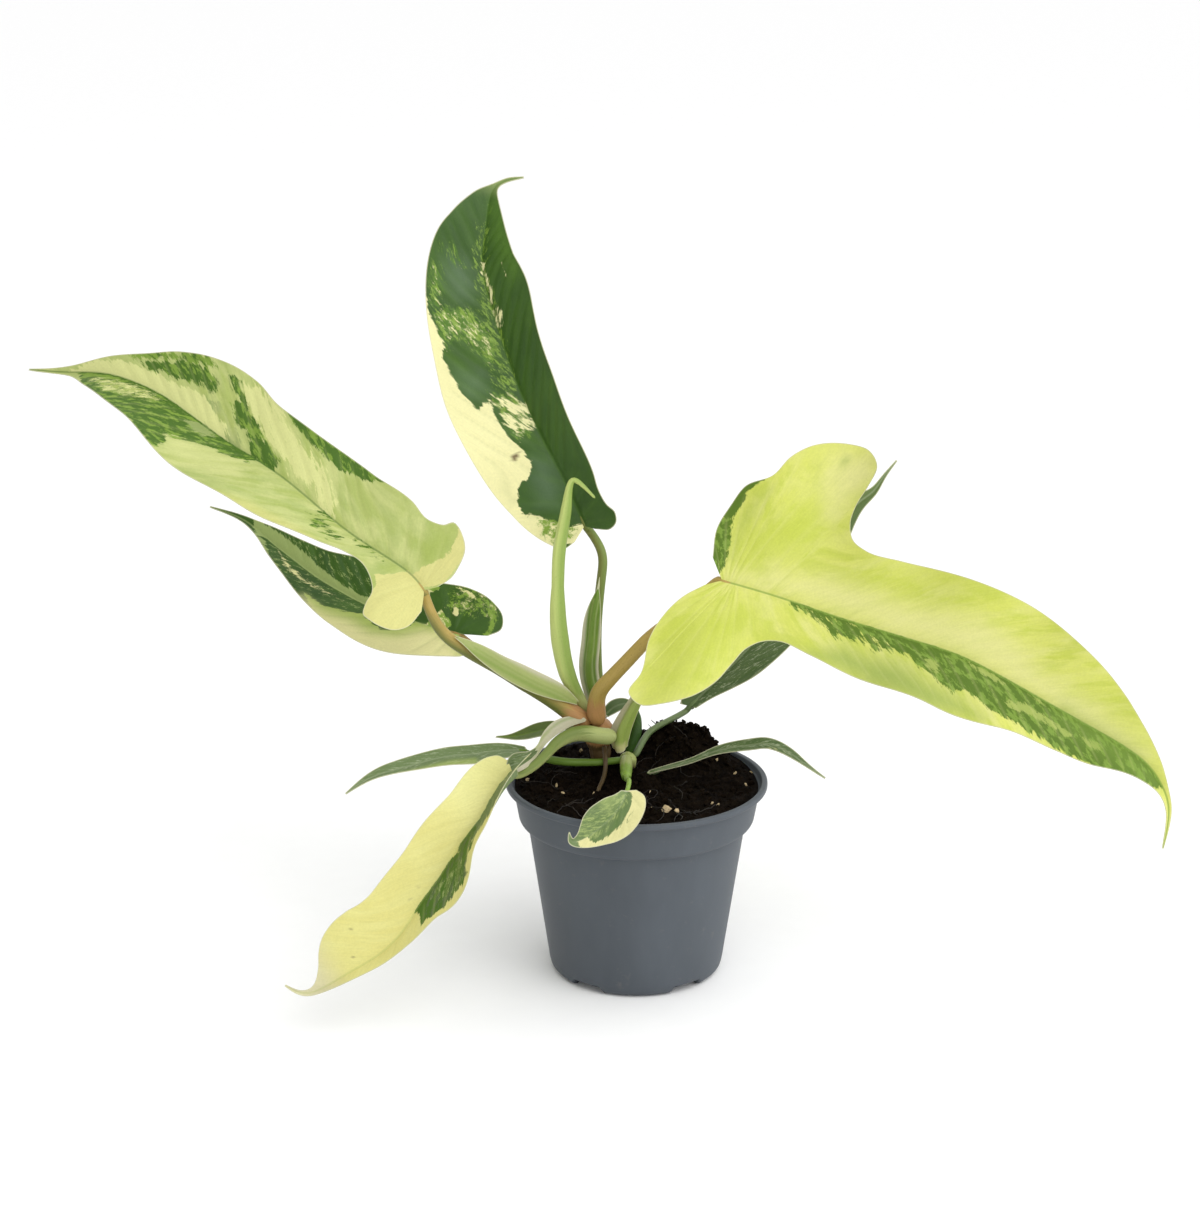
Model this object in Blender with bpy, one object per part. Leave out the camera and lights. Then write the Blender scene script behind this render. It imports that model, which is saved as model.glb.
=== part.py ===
"""Potted variegated philodendron: a filled 12 cm nursery pot with one lobed-leaf plant.

Sizes below are in millimetres. The pot stands on Z = 0 with its axis on the Z axis,
the side seen in the photograph faces -Y, and +X is to the right of it.
"""
import math

import bmesh
import bpy
import numpy as np
from mathutils import Matrix

MM = 0.001

# Driving sizes of the pot and the soil
GAP = 0.3                 # air left between two pieces that touch
POT_HEIGHT = 92.0
RIM_RADIUS = 60.0
FOOT_RADIUS = 36.0
FLOOR = 2.6               # thickness of the pot's floor
POT_SIDES = 56
POT_OUTSIDE = [           # radius, height, from the underside up to the lip
    (FOOT_RADIUS, 0.0), (38.0, 0.7), (39.6, 2.4), (40.3, 5.0), (49.2, 64.5), (50.4, 67.0),
    (53.2, 72.0), (54.2, 75.0), (56.5, 88.0), (RIM_RADIUS, 89.6),
    (RIM_RADIUS, POT_HEIGHT - 0.5), (RIM_RADIUS - 0.6, POT_HEIGHT),
]
POT_INSIDE = [            # radius, height, from the lip down to the floor
    (RIM_RADIUS - 2.6, POT_HEIGHT), (56.9, 89.6), (55.5, 88.0), (53.2, 75.0), (52.3, 72.6),
    (49.4, 67.4), (48.2, 64.6), (39.2, 5.2), (FOOT_RADIUS, FLOOR),
]
NOTCHES = 8               # drain notches round the foot
NOTCH_WIDTH = 7.0
NOTCH_HEIGHT = 1.6
SOIL_TOP = 87.5
SOIL_RADIUS = 55.1
SOIL_MOUND = (24.0, 45.0, 14.5, 17.0)     # x, y, height, spread
SOIL_SIDES = 40

# Thickness of the leaf tissue, and the number of steps used for it
LEAF = 0.8
COLUMNS = 4
MARGIN_STEP = 6.5
ROW_GAP = 7.0

# Main colour and roughness of each kind of surface
PLASTIC = ((0.13, 0.14, 0.16), 0.55)
CUTTER = ((0.5, 0.1, 0.1), 0.5)
SOIL = ((0.012, 0.008, 0.005), 0.95)
GREEN = ((0.05, 0.16, 0.03), 0.4)
DARK = ((0.025, 0.09, 0.03), 0.35)
CREAM = ((0.75, 0.76, 0.28), 0.45)
LIME = ((0.55, 0.70, 0.12), 0.45)
SAGE = ((0.14, 0.22, 0.10), 0.45)
STALK = ((0.22, 0.25, 0.07), 0.5)
ORANGE = ((0.42, 0.18, 0.05), 0.5)
SHEATH = ((0.50, 0.60, 0.30), 0.5)
SPEAR = ((0.35, 0.52, 0.10), 0.45)
ROOT = ((0.16, 0.09, 0.04), 0.8)


def smooth(x):
    """Smooth step from 0 to 1."""
    x = np.clip(x, 0.0, 1.0)
    return x * x * (3.0 - 2.0 * x)


def curve(points, per_span=40):
    """Natural cubic curve through points. Returns distances, points and unit tangents."""
    p = np.asarray(points, float)
    n = len(p)
    d = np.r_[0.0, np.cumsum(np.sqrt(np.linalg.norm(np.diff(p, axis=0), axis=1)))]
    h = np.diff(d)
    lhs = np.eye(n)
    rhs = np.zeros_like(p)
    for i in range(1, n - 1):
        lhs[i, i - 1:i + 2] = (h[i - 1], 2.0 * (h[i - 1] + h[i]), h[i])
        rhs[i] = 6.0 * ((p[i + 1] - p[i]) / h[i] - (p[i] - p[i - 1]) / h[i - 1])
    m = np.linalg.solve(lhs, rhs)
    t = np.linspace(0.0, d[-1], per_span * (n - 1) + 1)
    i = np.clip(np.searchsorted(d, t, side="right") - 1, 0, n - 2)
    x = (t - d[i])[:, None]
    hi = h[i][:, None]
    slope = (p[i + 1] - p[i]) / hi - hi * (2.0 * m[i] + m[i + 1]) / 6.0
    q = p[i] + slope * x + m[i] * x ** 2 / 2.0 + (m[i + 1] - m[i]) * x ** 3 / (6.0 * hi)
    s = np.r_[0.0, np.cumsum(np.linalg.norm(np.diff(q, axis=0), axis=1))]
    tangent = np.gradient(q, s, axis=0)
    tangent /= np.linalg.norm(tangent, axis=1, keepdims=True)
    return s, q, tangent


def stations(table, share):
    """Values of a table of (share, value, ...) rows, blended smoothly between the rows."""
    t = np.asarray(table, float)
    share = np.clip(share, 0.0, 1.0)
    i = np.clip(np.searchsorted(t[:, 0], share, side="right") - 1, 0, len(t) - 2)
    k = smooth((share - t[i, 0]) / (t[i + 1, 0] - t[i, 0]))[:, None]
    return t[i, 1:] * (1.0 - k) + t[i + 1, 1:] * k


class Leaf:
    """A leaf laid along a midrib curve.

    A point of the flat leaf is (a, b): a runs along the midrib from the stalk, b across
    it, positive to the left when looking to the tip with the upper face up. The blade is
    folded up along the midrib and curls further towards the margin.
    """

    def __init__(self, midrib, face, fold, curl, wave=(0.0, 40.0, 0.0)):
        self.s, self.points, self.tangents = curve(midrib)
        self.length = self.s[-1]
        self.face = [(k, *v) for k, v in face]
        self.fold = fold
        self.curl = curl
        self.wave = wave

    def frame(self, a):
        """Midrib point, tangent, upper-face normal and left direction at a."""
        inside = np.clip(a, 0.0, self.length)
        p = np.stack([np.interp(inside, self.s, self.points[:, k]) for k in range(3)], -1)
        t = np.stack([np.interp(inside, self.s, self.tangents[:, k]) for k in range(3)], -1)
        t /= np.linalg.norm(t, axis=1, keepdims=True)
        p = p + t * (a - inside)[:, None]
        n = stations(self.face, inside / self.length)
        n = n - (n * t).sum(1, keepdims=True) * t
        n /= np.linalg.norm(n, axis=1, keepdims=True)
        return p, t, n, np.cross(n, t)

    def surface(self, a, b):
        """Upper-face points and normals of the flat points (a, b)."""
        p, t, n, left = self.frame(a)
        share = np.clip(a, 0.0, self.length) / self.length
        column = (b < 0.0).astype(int)
        rows = np.arange(len(b))
        fold = np.radians(stations(self.fold, share)[rows, column])
        turn = np.radians(stations(self.curl, share)[rows, column]) / 10.0
        turn = np.where(np.abs(turn) < 1e-6, 1e-6, turn)
        w = np.abs(b)
        sign = np.where(b < 0.0, -1.0, 1.0)[:, None]
        end = fold + turn * w
        out = ((np.sin(end) - np.sin(fold)) / turn)[:, None]
        rise = ((np.cos(fold) - np.cos(end)) / turn)[:, None]
        on_rib = (w < 1e-6)[:, None]
        normal = n * np.cos(end)[:, None] - sign * left * np.sin(end)[:, None]
        normal = np.where(on_rib, n, normal)
        height, pitch, phase = self.wave
        ripple = height * np.minimum(w / 25.0, 1.5) ** 2
        ripple = ripple * np.sin(2.0 * np.pi * a / pitch + phase + 1.3 * column)
        q = p + left * sign * out + n * rise + normal * ripple[:, None]
        return q, normal


def outline_rows(outline, length, step):
    """Rows of (foot, a, b): the vein foot on the midrib and the margin point it reaches.

    The margin is a smooth curve through the outline points; each foot lies a little
    nearer the stalk than its margin point, as a side vein does, and never goes back.
    """
    p = np.asarray(outline, float)
    d = np.r_[0.0, np.cumsum(np.linalg.norm(np.diff(p, axis=0), axis=1))]
    slope = np.gradient(p, d, axis=0)
    margin = [p[0]]
    for i in range(len(p) - 1):
        span = d[i + 1] - d[i]
        count = max(1, int(round(span / step)))
        for k in range(1, count + 1):
            x = k / count
            h00 = 2 * x ** 3 - 3 * x ** 2 + 1
            h10 = x ** 3 - 2 * x ** 2 + x
            h01 = 3 * x ** 2 - 2 * x ** 3
            h11 = x ** 3 - x ** 2
            tangents = h10 * slope[i] + h11 * slope[i + 1]
            margin.append(h00 * p[i] + h01 * p[i + 1] + span * tangents)
    margin = np.array(margin)
    feet = margin[:, 0] - 0.45 * margin[:, 1]
    feet[0] = 0.0
    for i in range(1, len(feet)):
        feet[i] = max(feet[i], feet[i - 1] + 0.4)
    feet[-1] = length
    limit = length - 0.4 * np.arange(len(feet))[::-1]
    feet = np.minimum(feet, limit)
    return feet, margin


def row_feet(halves, length, gap):
    """Midrib points shared by both halves: close together in the lobes, then gap apart."""
    feet = np.unique(np.round(np.r_[halves[0][1], halves[1][1]], 4))
    fan = max(h[1][np.argmax(np.diff(h[1]) > 0.6)] for h in halves)
    keep = [feet[0]]
    for f in feet[1:-1]:
        if f - keep[-1] >= (0.39 if f <= fan else gap * (0.5 if f < 40.0 else 1.0)):
            keep.append(f)
    while len(keep) > 2 and length - keep[-1] < 0.5 * gap:
        keep.pop()
    keep += [length - 0.15 * gap, length]
    return np.array(keep)


def blade_mesh(leaf, left, right, rib_height, rib_width, thick, columns, step, gap):
    """Closed solid of a leaf blade with a rounded rib below its midrib.

    Both faces are split into the same triangles, so that the thickness stays even.
    """
    bm = bmesh.new()
    rib = {}

    def thickness(a, b):
        along = np.clip(1.0 - a / leaf.length, 0.0, 1.0)
        width = rib_width * (0.35 + 0.65 * along)
        away = np.where(a < 0.0, np.hypot(3.0 * a, b), np.abs(b)) / width
        bulge = np.sqrt(np.clip(1.0 - away ** 2, 0.0, 1.0))
        return thick + rib_height * along ** 0.8 * bulge

    def pair(a, b):
        q, n = leaf.surface(a, b)
        low = q - n * thickness(a, b)[:, None]
        return q, low

    def vertices(a, b):
        q, low = pair(a, b)
        top = [bm.verts.new(v * MM) for v in q]
        under = [bm.verts.new(v * MM) for v in low]
        return list(zip(top, under))

    def rib_vertex(foot):
        key = round(float(foot), 4)
        if key not in rib:
            rib[key] = vertices(np.array([foot]), np.array([0.0]))[0]
        return rib[key]

    halves = []
    for side, outline in ((1.0, left), (-1.0, right)):
        halves.append((side, *outline_rows(outline, leaf.length, step)))
    keep = row_feet(halves, leaf.length, gap)
    for side, own, margin in halves:
        a_end = np.interp(keep, own, margin[:, 0])
        b_end = np.interp(keep, own, margin[:, 1])
        grid = []
        for foot, a1, b1 in zip(keep[:-1], a_end[:-1], b_end[:-1]):
            reach = math.hypot(a1 - foot, b1)
            along = 1.0 - max(foot, 0.0) / leaf.length
            w = rib_width * (0.35 + 0.65 * along)
            first = min(0.55 * w, reach / columns)
            second = min(1.15 * w, 2.0 * reach / columns)
            rest = np.linspace(second, reach, columns - 1)
            t = np.r_[first, rest] / reach
            a = foot + (a1 - foot) * t
            b = side * b1 * t
            grid.append([rib_vertex(foot)] + vertices(a, b))
        tip = rib_vertex(keep[-1])

        def strip(p, q, r):
            bm.faces.new([p[0], q[0], r[0]])
            bm.faces.new([r[1], q[1], p[1]])

        def wall(p, q):
            bm.faces.new([p[0], p[1], q[1]])
            bm.faces.new([p[0], q[1], q[0]])

        last = columns
        for i in range(len(grid) - 1):
            lo, hi = grid[i], grid[i + 1]
            for j in range(last):
                strip(lo[j], hi[j], hi[j + 1])
                strip(lo[j], hi[j + 1], lo[j + 1])
            wall(lo[last], hi[last])
        for j in range(last):
            strip(grid[-1][j], tip, grid[-1][j + 1])
            wall(grid[0][j], grid[0][j + 1])
        wall(grid[-1][last], tip)
    bmesh.ops.recalc_face_normals(bm, faces=bm.faces[:])
    return bm


def tube_mesh(points, radii, sides=10, rings=10):
    """Closed tube through points. radii is a list of (share of the length, radius)."""
    s, q, t = curve(points)
    share = np.linspace(0.0, 1.0, rings)
    at = share * s[-1]
    centre = np.stack([np.interp(at, s, q[:, k]) for k in range(3)], -1)
    along = np.stack([np.interp(at, s, t[:, k]) for k in range(3)], -1)
    along /= np.linalg.norm(along, axis=1, keepdims=True)
    r = np.interp(share, [x[0] for x in radii], [x[1] for x in radii])
    across = np.cross(along[0], (0.31, -0.87, 0.38))
    bm = bmesh.new()
    rings_made = []
    turn = 2.0 * np.pi * np.arange(sides) / sides
    for c, d, radius in zip(centre, along, r):
        across = across - d * (across @ d)
        across /= np.linalg.norm(across)
        up = np.cross(d, across)
        ring = c + radius * (np.cos(turn)[:, None] * across + np.sin(turn)[:, None] * up)
        rings_made.append([bm.verts.new(v * MM) for v in ring])
    for lo, hi in zip(rings_made[:-1], rings_made[1:]):
        for k in range(sides):
            m = (k + 1) % sides
            bm.faces.new([lo[k], lo[m], hi[m]])
            bm.faces.new([lo[k], hi[m], hi[k]])
    bm.faces.new(rings_made[0][::-1])
    bm.faces.new(rings_made[-1])
    bmesh.ops.recalc_face_normals(bm, faces=bm.faces[:])
    return bm


def lathe_mesh(profile, sides):
    """Closed solid turned round Z from a profile that starts and ends on the axis."""
    bm = bmesh.new()
    turn = 2.0 * np.pi * np.arange(sides) / sides
    rings = []
    for r, z in profile:
        if r < 1e-9:
            rings.append([bm.verts.new((0.0, 0.0, z * MM))])
        else:
            rings.append([bm.verts.new((r * MM * c, r * MM * s, z * MM))
                          for c, s in zip(np.cos(turn), np.sin(turn))])
    for lo, hi in zip(rings[:-1], rings[1:]):
        for k in range(sides):
            m = (k + 1) % sides
            if len(lo) == 1:
                bm.faces.new([lo[0], hi[m], hi[k]])
            elif len(hi) == 1:
                bm.faces.new([lo[k], lo[m], hi[0]])
            else:
                bm.faces.new([lo[k], lo[m], hi[m], hi[k]])
    bmesh.ops.recalc_face_normals(bm, faces=bm.faces[:])
    return bm


def soil_height(x, y):
    """Height of the soil surface: a low crust, a heap at the back right, level at the wall."""
    r = np.hypot(x, y)
    mx, my, high, spread = SOIL_MOUND
    inner = smooth((SOIL_RADIUS + 0.5 - r) / 7.0)
    heap = high * np.exp(-((x - mx) ** 2 + (y - my) ** 2) / (2.0 * spread ** 2))
    lumps = 0.9 * np.sin(x / 6.1 + 1.0) * np.sin(y / 5.3 + 0.4)
    lumps = lumps + 0.6 * np.sin(x / 3.4 - y / 4.1 + 2.0)
    return SOIL_TOP + inner * (heap + lumps)


def soil_mesh():
    """Filled soil body: a turned block inside the wall, closed by the uneven surface."""
    bm = bmesh.new()
    turn = 2.0 * np.pi * np.arange(SOIL_SIDES) / SOIL_SIDES
    side = [(FOOT_RADIUS - 0.5, FLOOR + GAP), (38.8, 5.6), (47.8, 64.7), (49.0, 67.7),
            (51.9, 73.0), (52.8, 75.2)]
    rings = []
    for r, z in side:
        rings.append([bm.verts.new((r * MM * c, r * MM * s, z * MM))
                      for c, s in zip(np.cos(turn), np.sin(turn))])
    for r in (SOIL_RADIUS, 51.5, 47.5, 42.0, 35.0, 27.0, 18.0, 9.0):
        x, y = r * np.cos(turn), r * np.sin(turn)
        z = soil_height(x, y)
        rings.append([bm.verts.new((u * MM, v * MM, w * MM)) for u, v, w in zip(x, y, z)])
    for lo, hi in zip(rings[:-1], rings[1:]):
        for k in range(SOIL_SIDES):
            m = (k + 1) % SOIL_SIDES
            bm.faces.new([lo[k], lo[m], hi[m]])
            bm.faces.new([lo[k], hi[m], hi[k]])
    bm.faces.new(rings[0][::-1])
    z = float(soil_height(np.array([0.0]), np.array([0.0]))[0])
    top = bm.verts.new((0.0, 0.0, z * MM))
    for k in range(SOIL_SIDES):
        bm.faces.new([rings[-1][k], rings[-1][(k + 1) % SOIL_SIDES], top])
    bmesh.ops.recalc_face_normals(bm, faces=bm.faces[:])
    return bm


def material(name, rgb, roughness):
    """Plain surface of one sub-part: its main colour and how rough it is."""
    mat = bpy.data.materials.new(name)
    mat.use_nodes = True
    shader = mat.node_tree.nodes["Principled BSDF"]
    shader.inputs["Base Color"].default_value = (*rgb, 1.0)
    shader.inputs["Roughness"].default_value = roughness
    shader.inputs["Metallic"].default_value = 0.0
    return mat


def add(name, bm, look):
    """Link a bmesh to the scene as a named object with a material of its own."""
    mesh = bpy.data.meshes.new(name)
    bm.to_mesh(mesh)
    bm.free()
    mesh.shade_smooth()
    mesh.set_sharp_from_angle(angle=math.radians(40.0))
    mesh.materials.append(material(name, *look))
    obj = bpy.data.objects.new(name, mesh)
    obj.parent = PLANT
    bpy.context.scene.collection.objects.link(obj)
    return obj


def cut(obj, bm, name):
    """Subtract a cutter from an object with an exact boolean."""
    cutter = add(name, bm, CUTTER)
    cutter.hide_render = True
    cutter.display_type = "WIRE"
    step = obj.modifiers.new(name, "BOOLEAN")
    step.operation = "DIFFERENCE"
    step.solver = "EXACT"
    step.object = cutter


def stalk_end(leaf, radius, thick=LEAF):
    """Points that bring a stalk up to the underside of a blade, GAP short of it."""
    p, t, n, left = leaf.frame(np.array([0.0]))
    end = p[0] - n[0] * (thick + GAP + radius + 0.1) - t[0] * (GAP + 0.45 * radius)
    return [tuple(end - t[0] * 5.0 - n[0] * 0.8), tuple(end)]


def blade(name, look, midrib, face, fold, curl, left, right, rib, wave=(0.0, 40.0, 0.0),
          columns=COLUMNS, gap=ROW_GAP):
    """Add one leaf blade and return its shape, for the stalk that carries it."""
    leaf = Leaf(midrib, face, fold, curl, wave)
    bm = blade_mesh(leaf, left, right, rib[0], rib[1], LEAF, columns, MARGIN_STEP, gap)
    add(name, bm, look)
    return leaf


def stalk(name, look, points, radii, sides=10, rings=10):
    """Add one round stem, stalk, bud or root."""
    return add(name, tube_mesh(points, radii, sides, rings), look)


for old in list(bpy.data.objects):
    bpy.data.objects.remove(old, do_unlink=True)

# Everything hangs under one empty at the middle of the pot's underside
PLANT = bpy.data.objects.new("potted_plant", None)
bpy.context.scene.collection.objects.link(PLANT)

# Pot: turned profile, with drain notches cut round the foot
pot = add("pot", lathe_mesh([(0.0, 0.0)] + POT_OUTSIDE + POT_INSIDE + [(0.0, 2.6)],
                            POT_SIDES), PLASTIC)
for n in range(NOTCHES):
    bm = bmesh.new()
    bmesh.ops.create_cube(bm, size=1.0)
    for v in bm.verts:
        v.co.x = (38.0 + 10.0 * v.co.x) * MM
        v.co.y = NOTCH_WIDTH * v.co.y * (1.0 if v.co.z < 0 else 0.6) * MM
        v.co.z = (NOTCH_HEIGHT - 1.0 + 2.0 * v.co.z) * MM
    angle = math.radians(22.5 + 45.0 * n)
    bmesh.ops.rotate(bm, verts=bm.verts[:], cent=(0, 0, 0),
                     matrix=Matrix.Rotation(angle, 3, "Z"))
    cut(pot, bm, "notch_cutter_%d" % n)

# Soil: one filled body
soil = add("soil", soil_mesh(), SOIL)

# Woody stem of the plant and the short stem of its side shoot, both standing in the soil
stalk("main_stem", ORANGE, [(-15, 18, 76.5), (-15, 18, 88), (-17, 18, 101), (-18.5, 17.5, 115.5)],
      [(0, 4.6), (0.3, 4.8), (0.6, 5.0), (0.76, 6.2), (0.88, 8.4), (0.96, 7.4), (1, 3.6)],
      sides=14, rings=14)
stalk("side_stem", SAGE, [(-4, 17, 78.5), (-4, 17, 88), (-4, 17, 98.6)],
      [(0, 3.6), (0.5, 3.8), (0.9, 4.3), (1, 3.0)], sides=14, rings=8)
for name, x, y, radius, floor in (("main_stem_hole", -15, 18, 5.3, 76.0),
                                  ("side_stem_hole", -4, 17, 4.3, 78.0),
                                  ("strap_leaf_hole", 5.2, 9.8, 1.8, 81.0),
                                  ("root_hole", -16.3, -4.0, 2.0, 80.0)):
    bm = bmesh.new()
    bmesh.ops.create_cone(bm, cap_ends=True, segments=20, radius1=radius * MM,
                          radius2=radius * MM, depth=40.0 * MM)
    bmesh.ops.translate(bm, verts=bm.verts[:], vec=(x * MM, y * MM, (floor + 20.0) * MM))
    cut(soil, bm, name + "_cutter")

# Top leaf: dark green, standing, leaning back
top = blade("top_leaf", GREEN,
            midrib=[(-24, 35, 202), (-32, 38, 220), (-43, 42, 241), (-56, 52, 268),
                    (-67, 62, 300), (-71, 68, 319), (-69, 74, 336), (-65, 80, 351),
                    (-52, 84, 355)],
            face=[(0, (-0.35, -0.9, 0.25)), (0.5, (-0.35, -0.85, 0.3)), (1, (-0.1, -0.9, 0.5))],
            fold=[(0, 20, 20), (0.5, 25, 22), (1, 25, 20)],
            curl=[(0, 2, 3), (1, 2, 3)], wave=(0.6, 46.0, 0.5),
            left=[(-5, 7), (-6, 13), (-1, 18.5), (9, 25), (22, 29.2), (46, 33.3), (70, 34.5),
                  (92, 32.6), (112, 30), (131, 25), (145, 20.5), (154, 15), (161, 8), (167, 1.8), (175, 1),
                  (181, 0.4)],
            right=[(-3, 6), (-5, 14), (-2, 20), (2, 21), (6, 18), (13, 16.5), (22, 18), (48, 20.5),
                   (75, 23), (99, 25.3), (117, 24.4), (135, 18.2), (150, 9.5), (160, 5), (167, 1.8),
                   (175, 1), (181, 0.4)],
            rib=(3.2, 2.6))
stalk("top_leaf_stalk", STALK,
      [(-16.4, 23.2, 115.6), (-18, 26, 135), (-18, 28, 160), (-16, 30.5, 180), (-16.5, 33, 191.5)]
      + stalk_end(top, 1.9),
      [(0, 2.0), (0.2, 2.4), (0.8, 2.1), (1, 1.9)])

# Large leaf on the left, with its sheathed stalk
left_leaf = blade("left_leaf", CREAM,
                  midrib=[(-95, -8, 184), (-101, -6, 191), (-119, 0, 202), (-135, 6, 212),
                          (-151, 13, 224), (-168, 20, 235), (-186, 28, 244), (-211, 40, 259),
                          (-225, 47, 265), (-243, 55, 269), (-263, 64, 268), (-282, 70, 268)],
                  face=[(0, (0.25, -0.8, 0.5)), (0.5, (0.2, -0.8, 0.5)), (1, (0.1, -0.7, 0.7))],
                  fold=[(0, 18, 18), (0.5, 20, 20), (1, 25, 25)],
                  curl=[(0, 3, 3), (0.5, 2, 2), (1, 2, 2)], wave=(1.0, 52.0, 2.0),
                  left=[(-7, 8), (-9, 19), (-5, 31), (2, 37), (11, 36), (15, 29), (17, 21),
                        (22, 15), (31, 10), (40, 11), (50, 15.4), (74, 24.8), (94, 28.9), (126, 28.9),
                        (143, 26.8), (158, 23), (174, 18), (190, 11), (204, 3), (216, 1.2),
                        (226, 0.4)],
                  right=[(-2, 6), (-2, 13), (1, 20), (5, 27), (10, 30), (12, 26), (17, 24),
                         (26, 27), (52, 27), (84, 25), (100, 26), (118, 30), (132, 30),
                         (144, 27), (155, 22), (170, 14), (186, 8), (200, 4), (213, 1.8),
                         (226, 0.4)],
                  rib=(3.4, 2.8))
stalk("left_leaf_stalk", ORANGE,
      [(-23.5, 13.7, 114.5), (-31.5, 12.8, 121.4), (-42, 10, 129), (-52, 6, 136), (-63, 1, 145),
       (-80, -7, 158), (-88, -9, 166), (-93, -9, 176)] + stalk_end(left_leaf, 2.1),
      [(0, 2.5), (0.12, 3.2), (0.6, 3.2), (0.8, 2.6), (1, 2.1)], rings=14)
blade("left_leaf_sheath", SHEATH,
      midrib=[(-34, 8.5, 130.2), (-44, 5.2, 136.1), (-52, 1.8, 141.6), (-61, -3.2, 148.6),
              (-68, -7.2, 154.6), (-75, -9.7, 159.6), (-80, -10.7, 162.6)],
      face=[(0, (0.25, -0.8, 0.45)), (1, (0.25, -0.8, 0.45))],
      fold=[(0, -8, -8), (1, -8, -8)], curl=[(0, -4, -6), (1, -4, -6)],
      left=[(-1, 2.4), (6, 4.8), (20, 5.8), (36, 5.5), (48, 4.4), (57, 2.0), (62, 0.4)],
      right=[(-1, 2.5), (6, 4.4), (20, 5.0), (36, 4.4), (48, 3.2), (57, 1.4), (62, 0.4)],
      rib=(0.3, 1.0), columns=4)

# Leaf behind it, dark green with a cream lower half
back_left = blade("back_left_leaf", GREEN,
                  midrib=[(-83, 40, 149), (-104, 46, 153), (-125, 54, 158), (-140, 60, 164),
                          (-152, 65, 170), (-163, 70, 177), (-174, 76, 184), (-186, 82, 192),
                          (-204, 90, 197)],
                  face=[(0, (0.2, -0.65, 0.7)), (0.5, (0.15, -0.65, 0.7)), (1, (0.1, -0.6, 0.8))],
                  fold=[(0, 15, 15), (0.5, 15, 15), (1, 20, 20)],
                  curl=[(0, 2, 2), (1, 2, 2)], wave=(0.8, 44.0, 1.0),
                  left=[(-6, 7), (-8, 13), (0, 18), (10, 22), (26, 25.5), (40, 26), (54, 23),
                        (69, 18), (84, 13), (99, 8), (110, 4), (122, 1.8), (133, 1), (141, 0.4)],
                  right=[(-14, 2.5), (-19, 7), (-18, 13), (-11, 19), (2, 22.5), (14, 22), (28, 20),
                         (46, 20), (61, 19), (81, 13), (93, 10), (106, 7), (118, 3), (132, 1),
                         (141, 0.4)],
                  rib=(2.6, 2.2))
stalk("back_left_leaf_stalk", STALK,
      [(-26.2, 21.4, 111.1), (-38, 27, 119), (-55, 34, 129), (-70, 39, 138)]
      + stalk_end(back_left, 1.7, LEAF + 0.3),
      [(0, 2.0), (0.3, 2.2), (1, 1.7)])

# Large leaf on the right, lime and cream with a dark band
right_leaf = blade("right_leaf", LIME,
                   midrib=[(38, 5, 185), (64, -2, 179), (87, -10, 173), (126, -26, 165),
                           (145, -34, 160), (172, -46, 148), (195, -56, 137), (217, -66, 125),
                           (225, -70, 115), (228, -73, 105), (226, -76, 88)],
                   face=[(0, (0.1, -0.8, 0.5)), (0.5, (0.15, -0.85, 0.45)),
                         (0.85, (0.25, -0.85, 0.3)), (1, (0.5, -0.8, 0.2))],
                   fold=[(0, 10, 10), (0.5, 18, 14), (1, 25, 20)],
                   curl=[(0, 1, 1), (0.5, 2, 2), (1, 2, 2)], wave=(1.0, 48.0, 0.0),
                   left=[(-7, 9), (-9, 22), (-6, 34), (-2, 44), (9, 52), (14, 62), (23, 71),
                         (33, 75), (43, 75), (50.5, 69), (49, 60), (46, 50), (46, 42), (50, 35),
                         (58, 32), (75, 32), (108, 33.5), (137, 32.5), (153, 30), (169, 25.5),
                         (183, 19.5), (196, 12), (207, 6), (219, 2.2), (232, 1.2), (245, 0.4)],
                   right=[(-7, 5), (-14, 13), (-20, 26), (-22, 36), (-20, 56), (-22, 67),
                          (-15, 72), (-6, 70), (4, 64), (13, 52), (18, 38), (21, 30), (27, 24),
                          (34, 21.5), (51, 23.5), (66, 25.5), (81, 27), (100, 28.5), (118, 29),
                          (136, 27), (152, 22), (170, 19), (186, 17), (199, 12), (210, 8),
                          (219, 4), (228, 2), (236, 1.3), (245, 0.4)],
                   rib=(3.6, 3.0))
stalk("right_leaf_stalk", ORANGE,
      [(-18.4, 12.9, 115.4), (-18, 9, 128), (-13, 6, 137), (-1, 4, 151), (7, 5, 159),
       (24, 8, 172)] + stalk_end(right_leaf, 2.3, LEAF + 0.3),
      [(0, 2.7), (0.15, 3.4), (0.6, 3.0), (1, 2.3)], rings=12)

# Narrow grey-green leaf behind the right leaf
back_right = blade("back_right_leaf", SAGE,
                   midrib=[(26, 52, 109), (35, 58, 116), (44, 64, 123), (56, 72, 133),
                           (75, 86, 150), (93, 100, 170), (108, 114, 191), (117, 119, 197),
                           (122, 122, 203), (129, 126, 211)],
                   face=[(0, (-0.1, -0.85, 0.45)), (1, (0.0, -0.85, 0.45))],
                   fold=[(0, 18, 18), (1, 15, 15)], curl=[(0, 2, 2), (1, 2, 2)],
                   wave=(0.8, 40.0, 0.0),
                   left=[(-3, 4), (4, 8), (14, 12), (30, 15), (50, 16), (72, 14), (94, 10),
                         (116, 6), (134, 4), (149, 1.5), (157, 0.8), (164, 0.4)],
                   right=[(1, 3), (9, 5), (20, 9), (32, 13), (46, 15), (62, 15), (80, 13),
                          (100, 9), (119, 6), (135, 4), (149, 1.5), (157, 0.8), (164, 0.4)],
                   rib=(2.2, 1.9))
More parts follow.
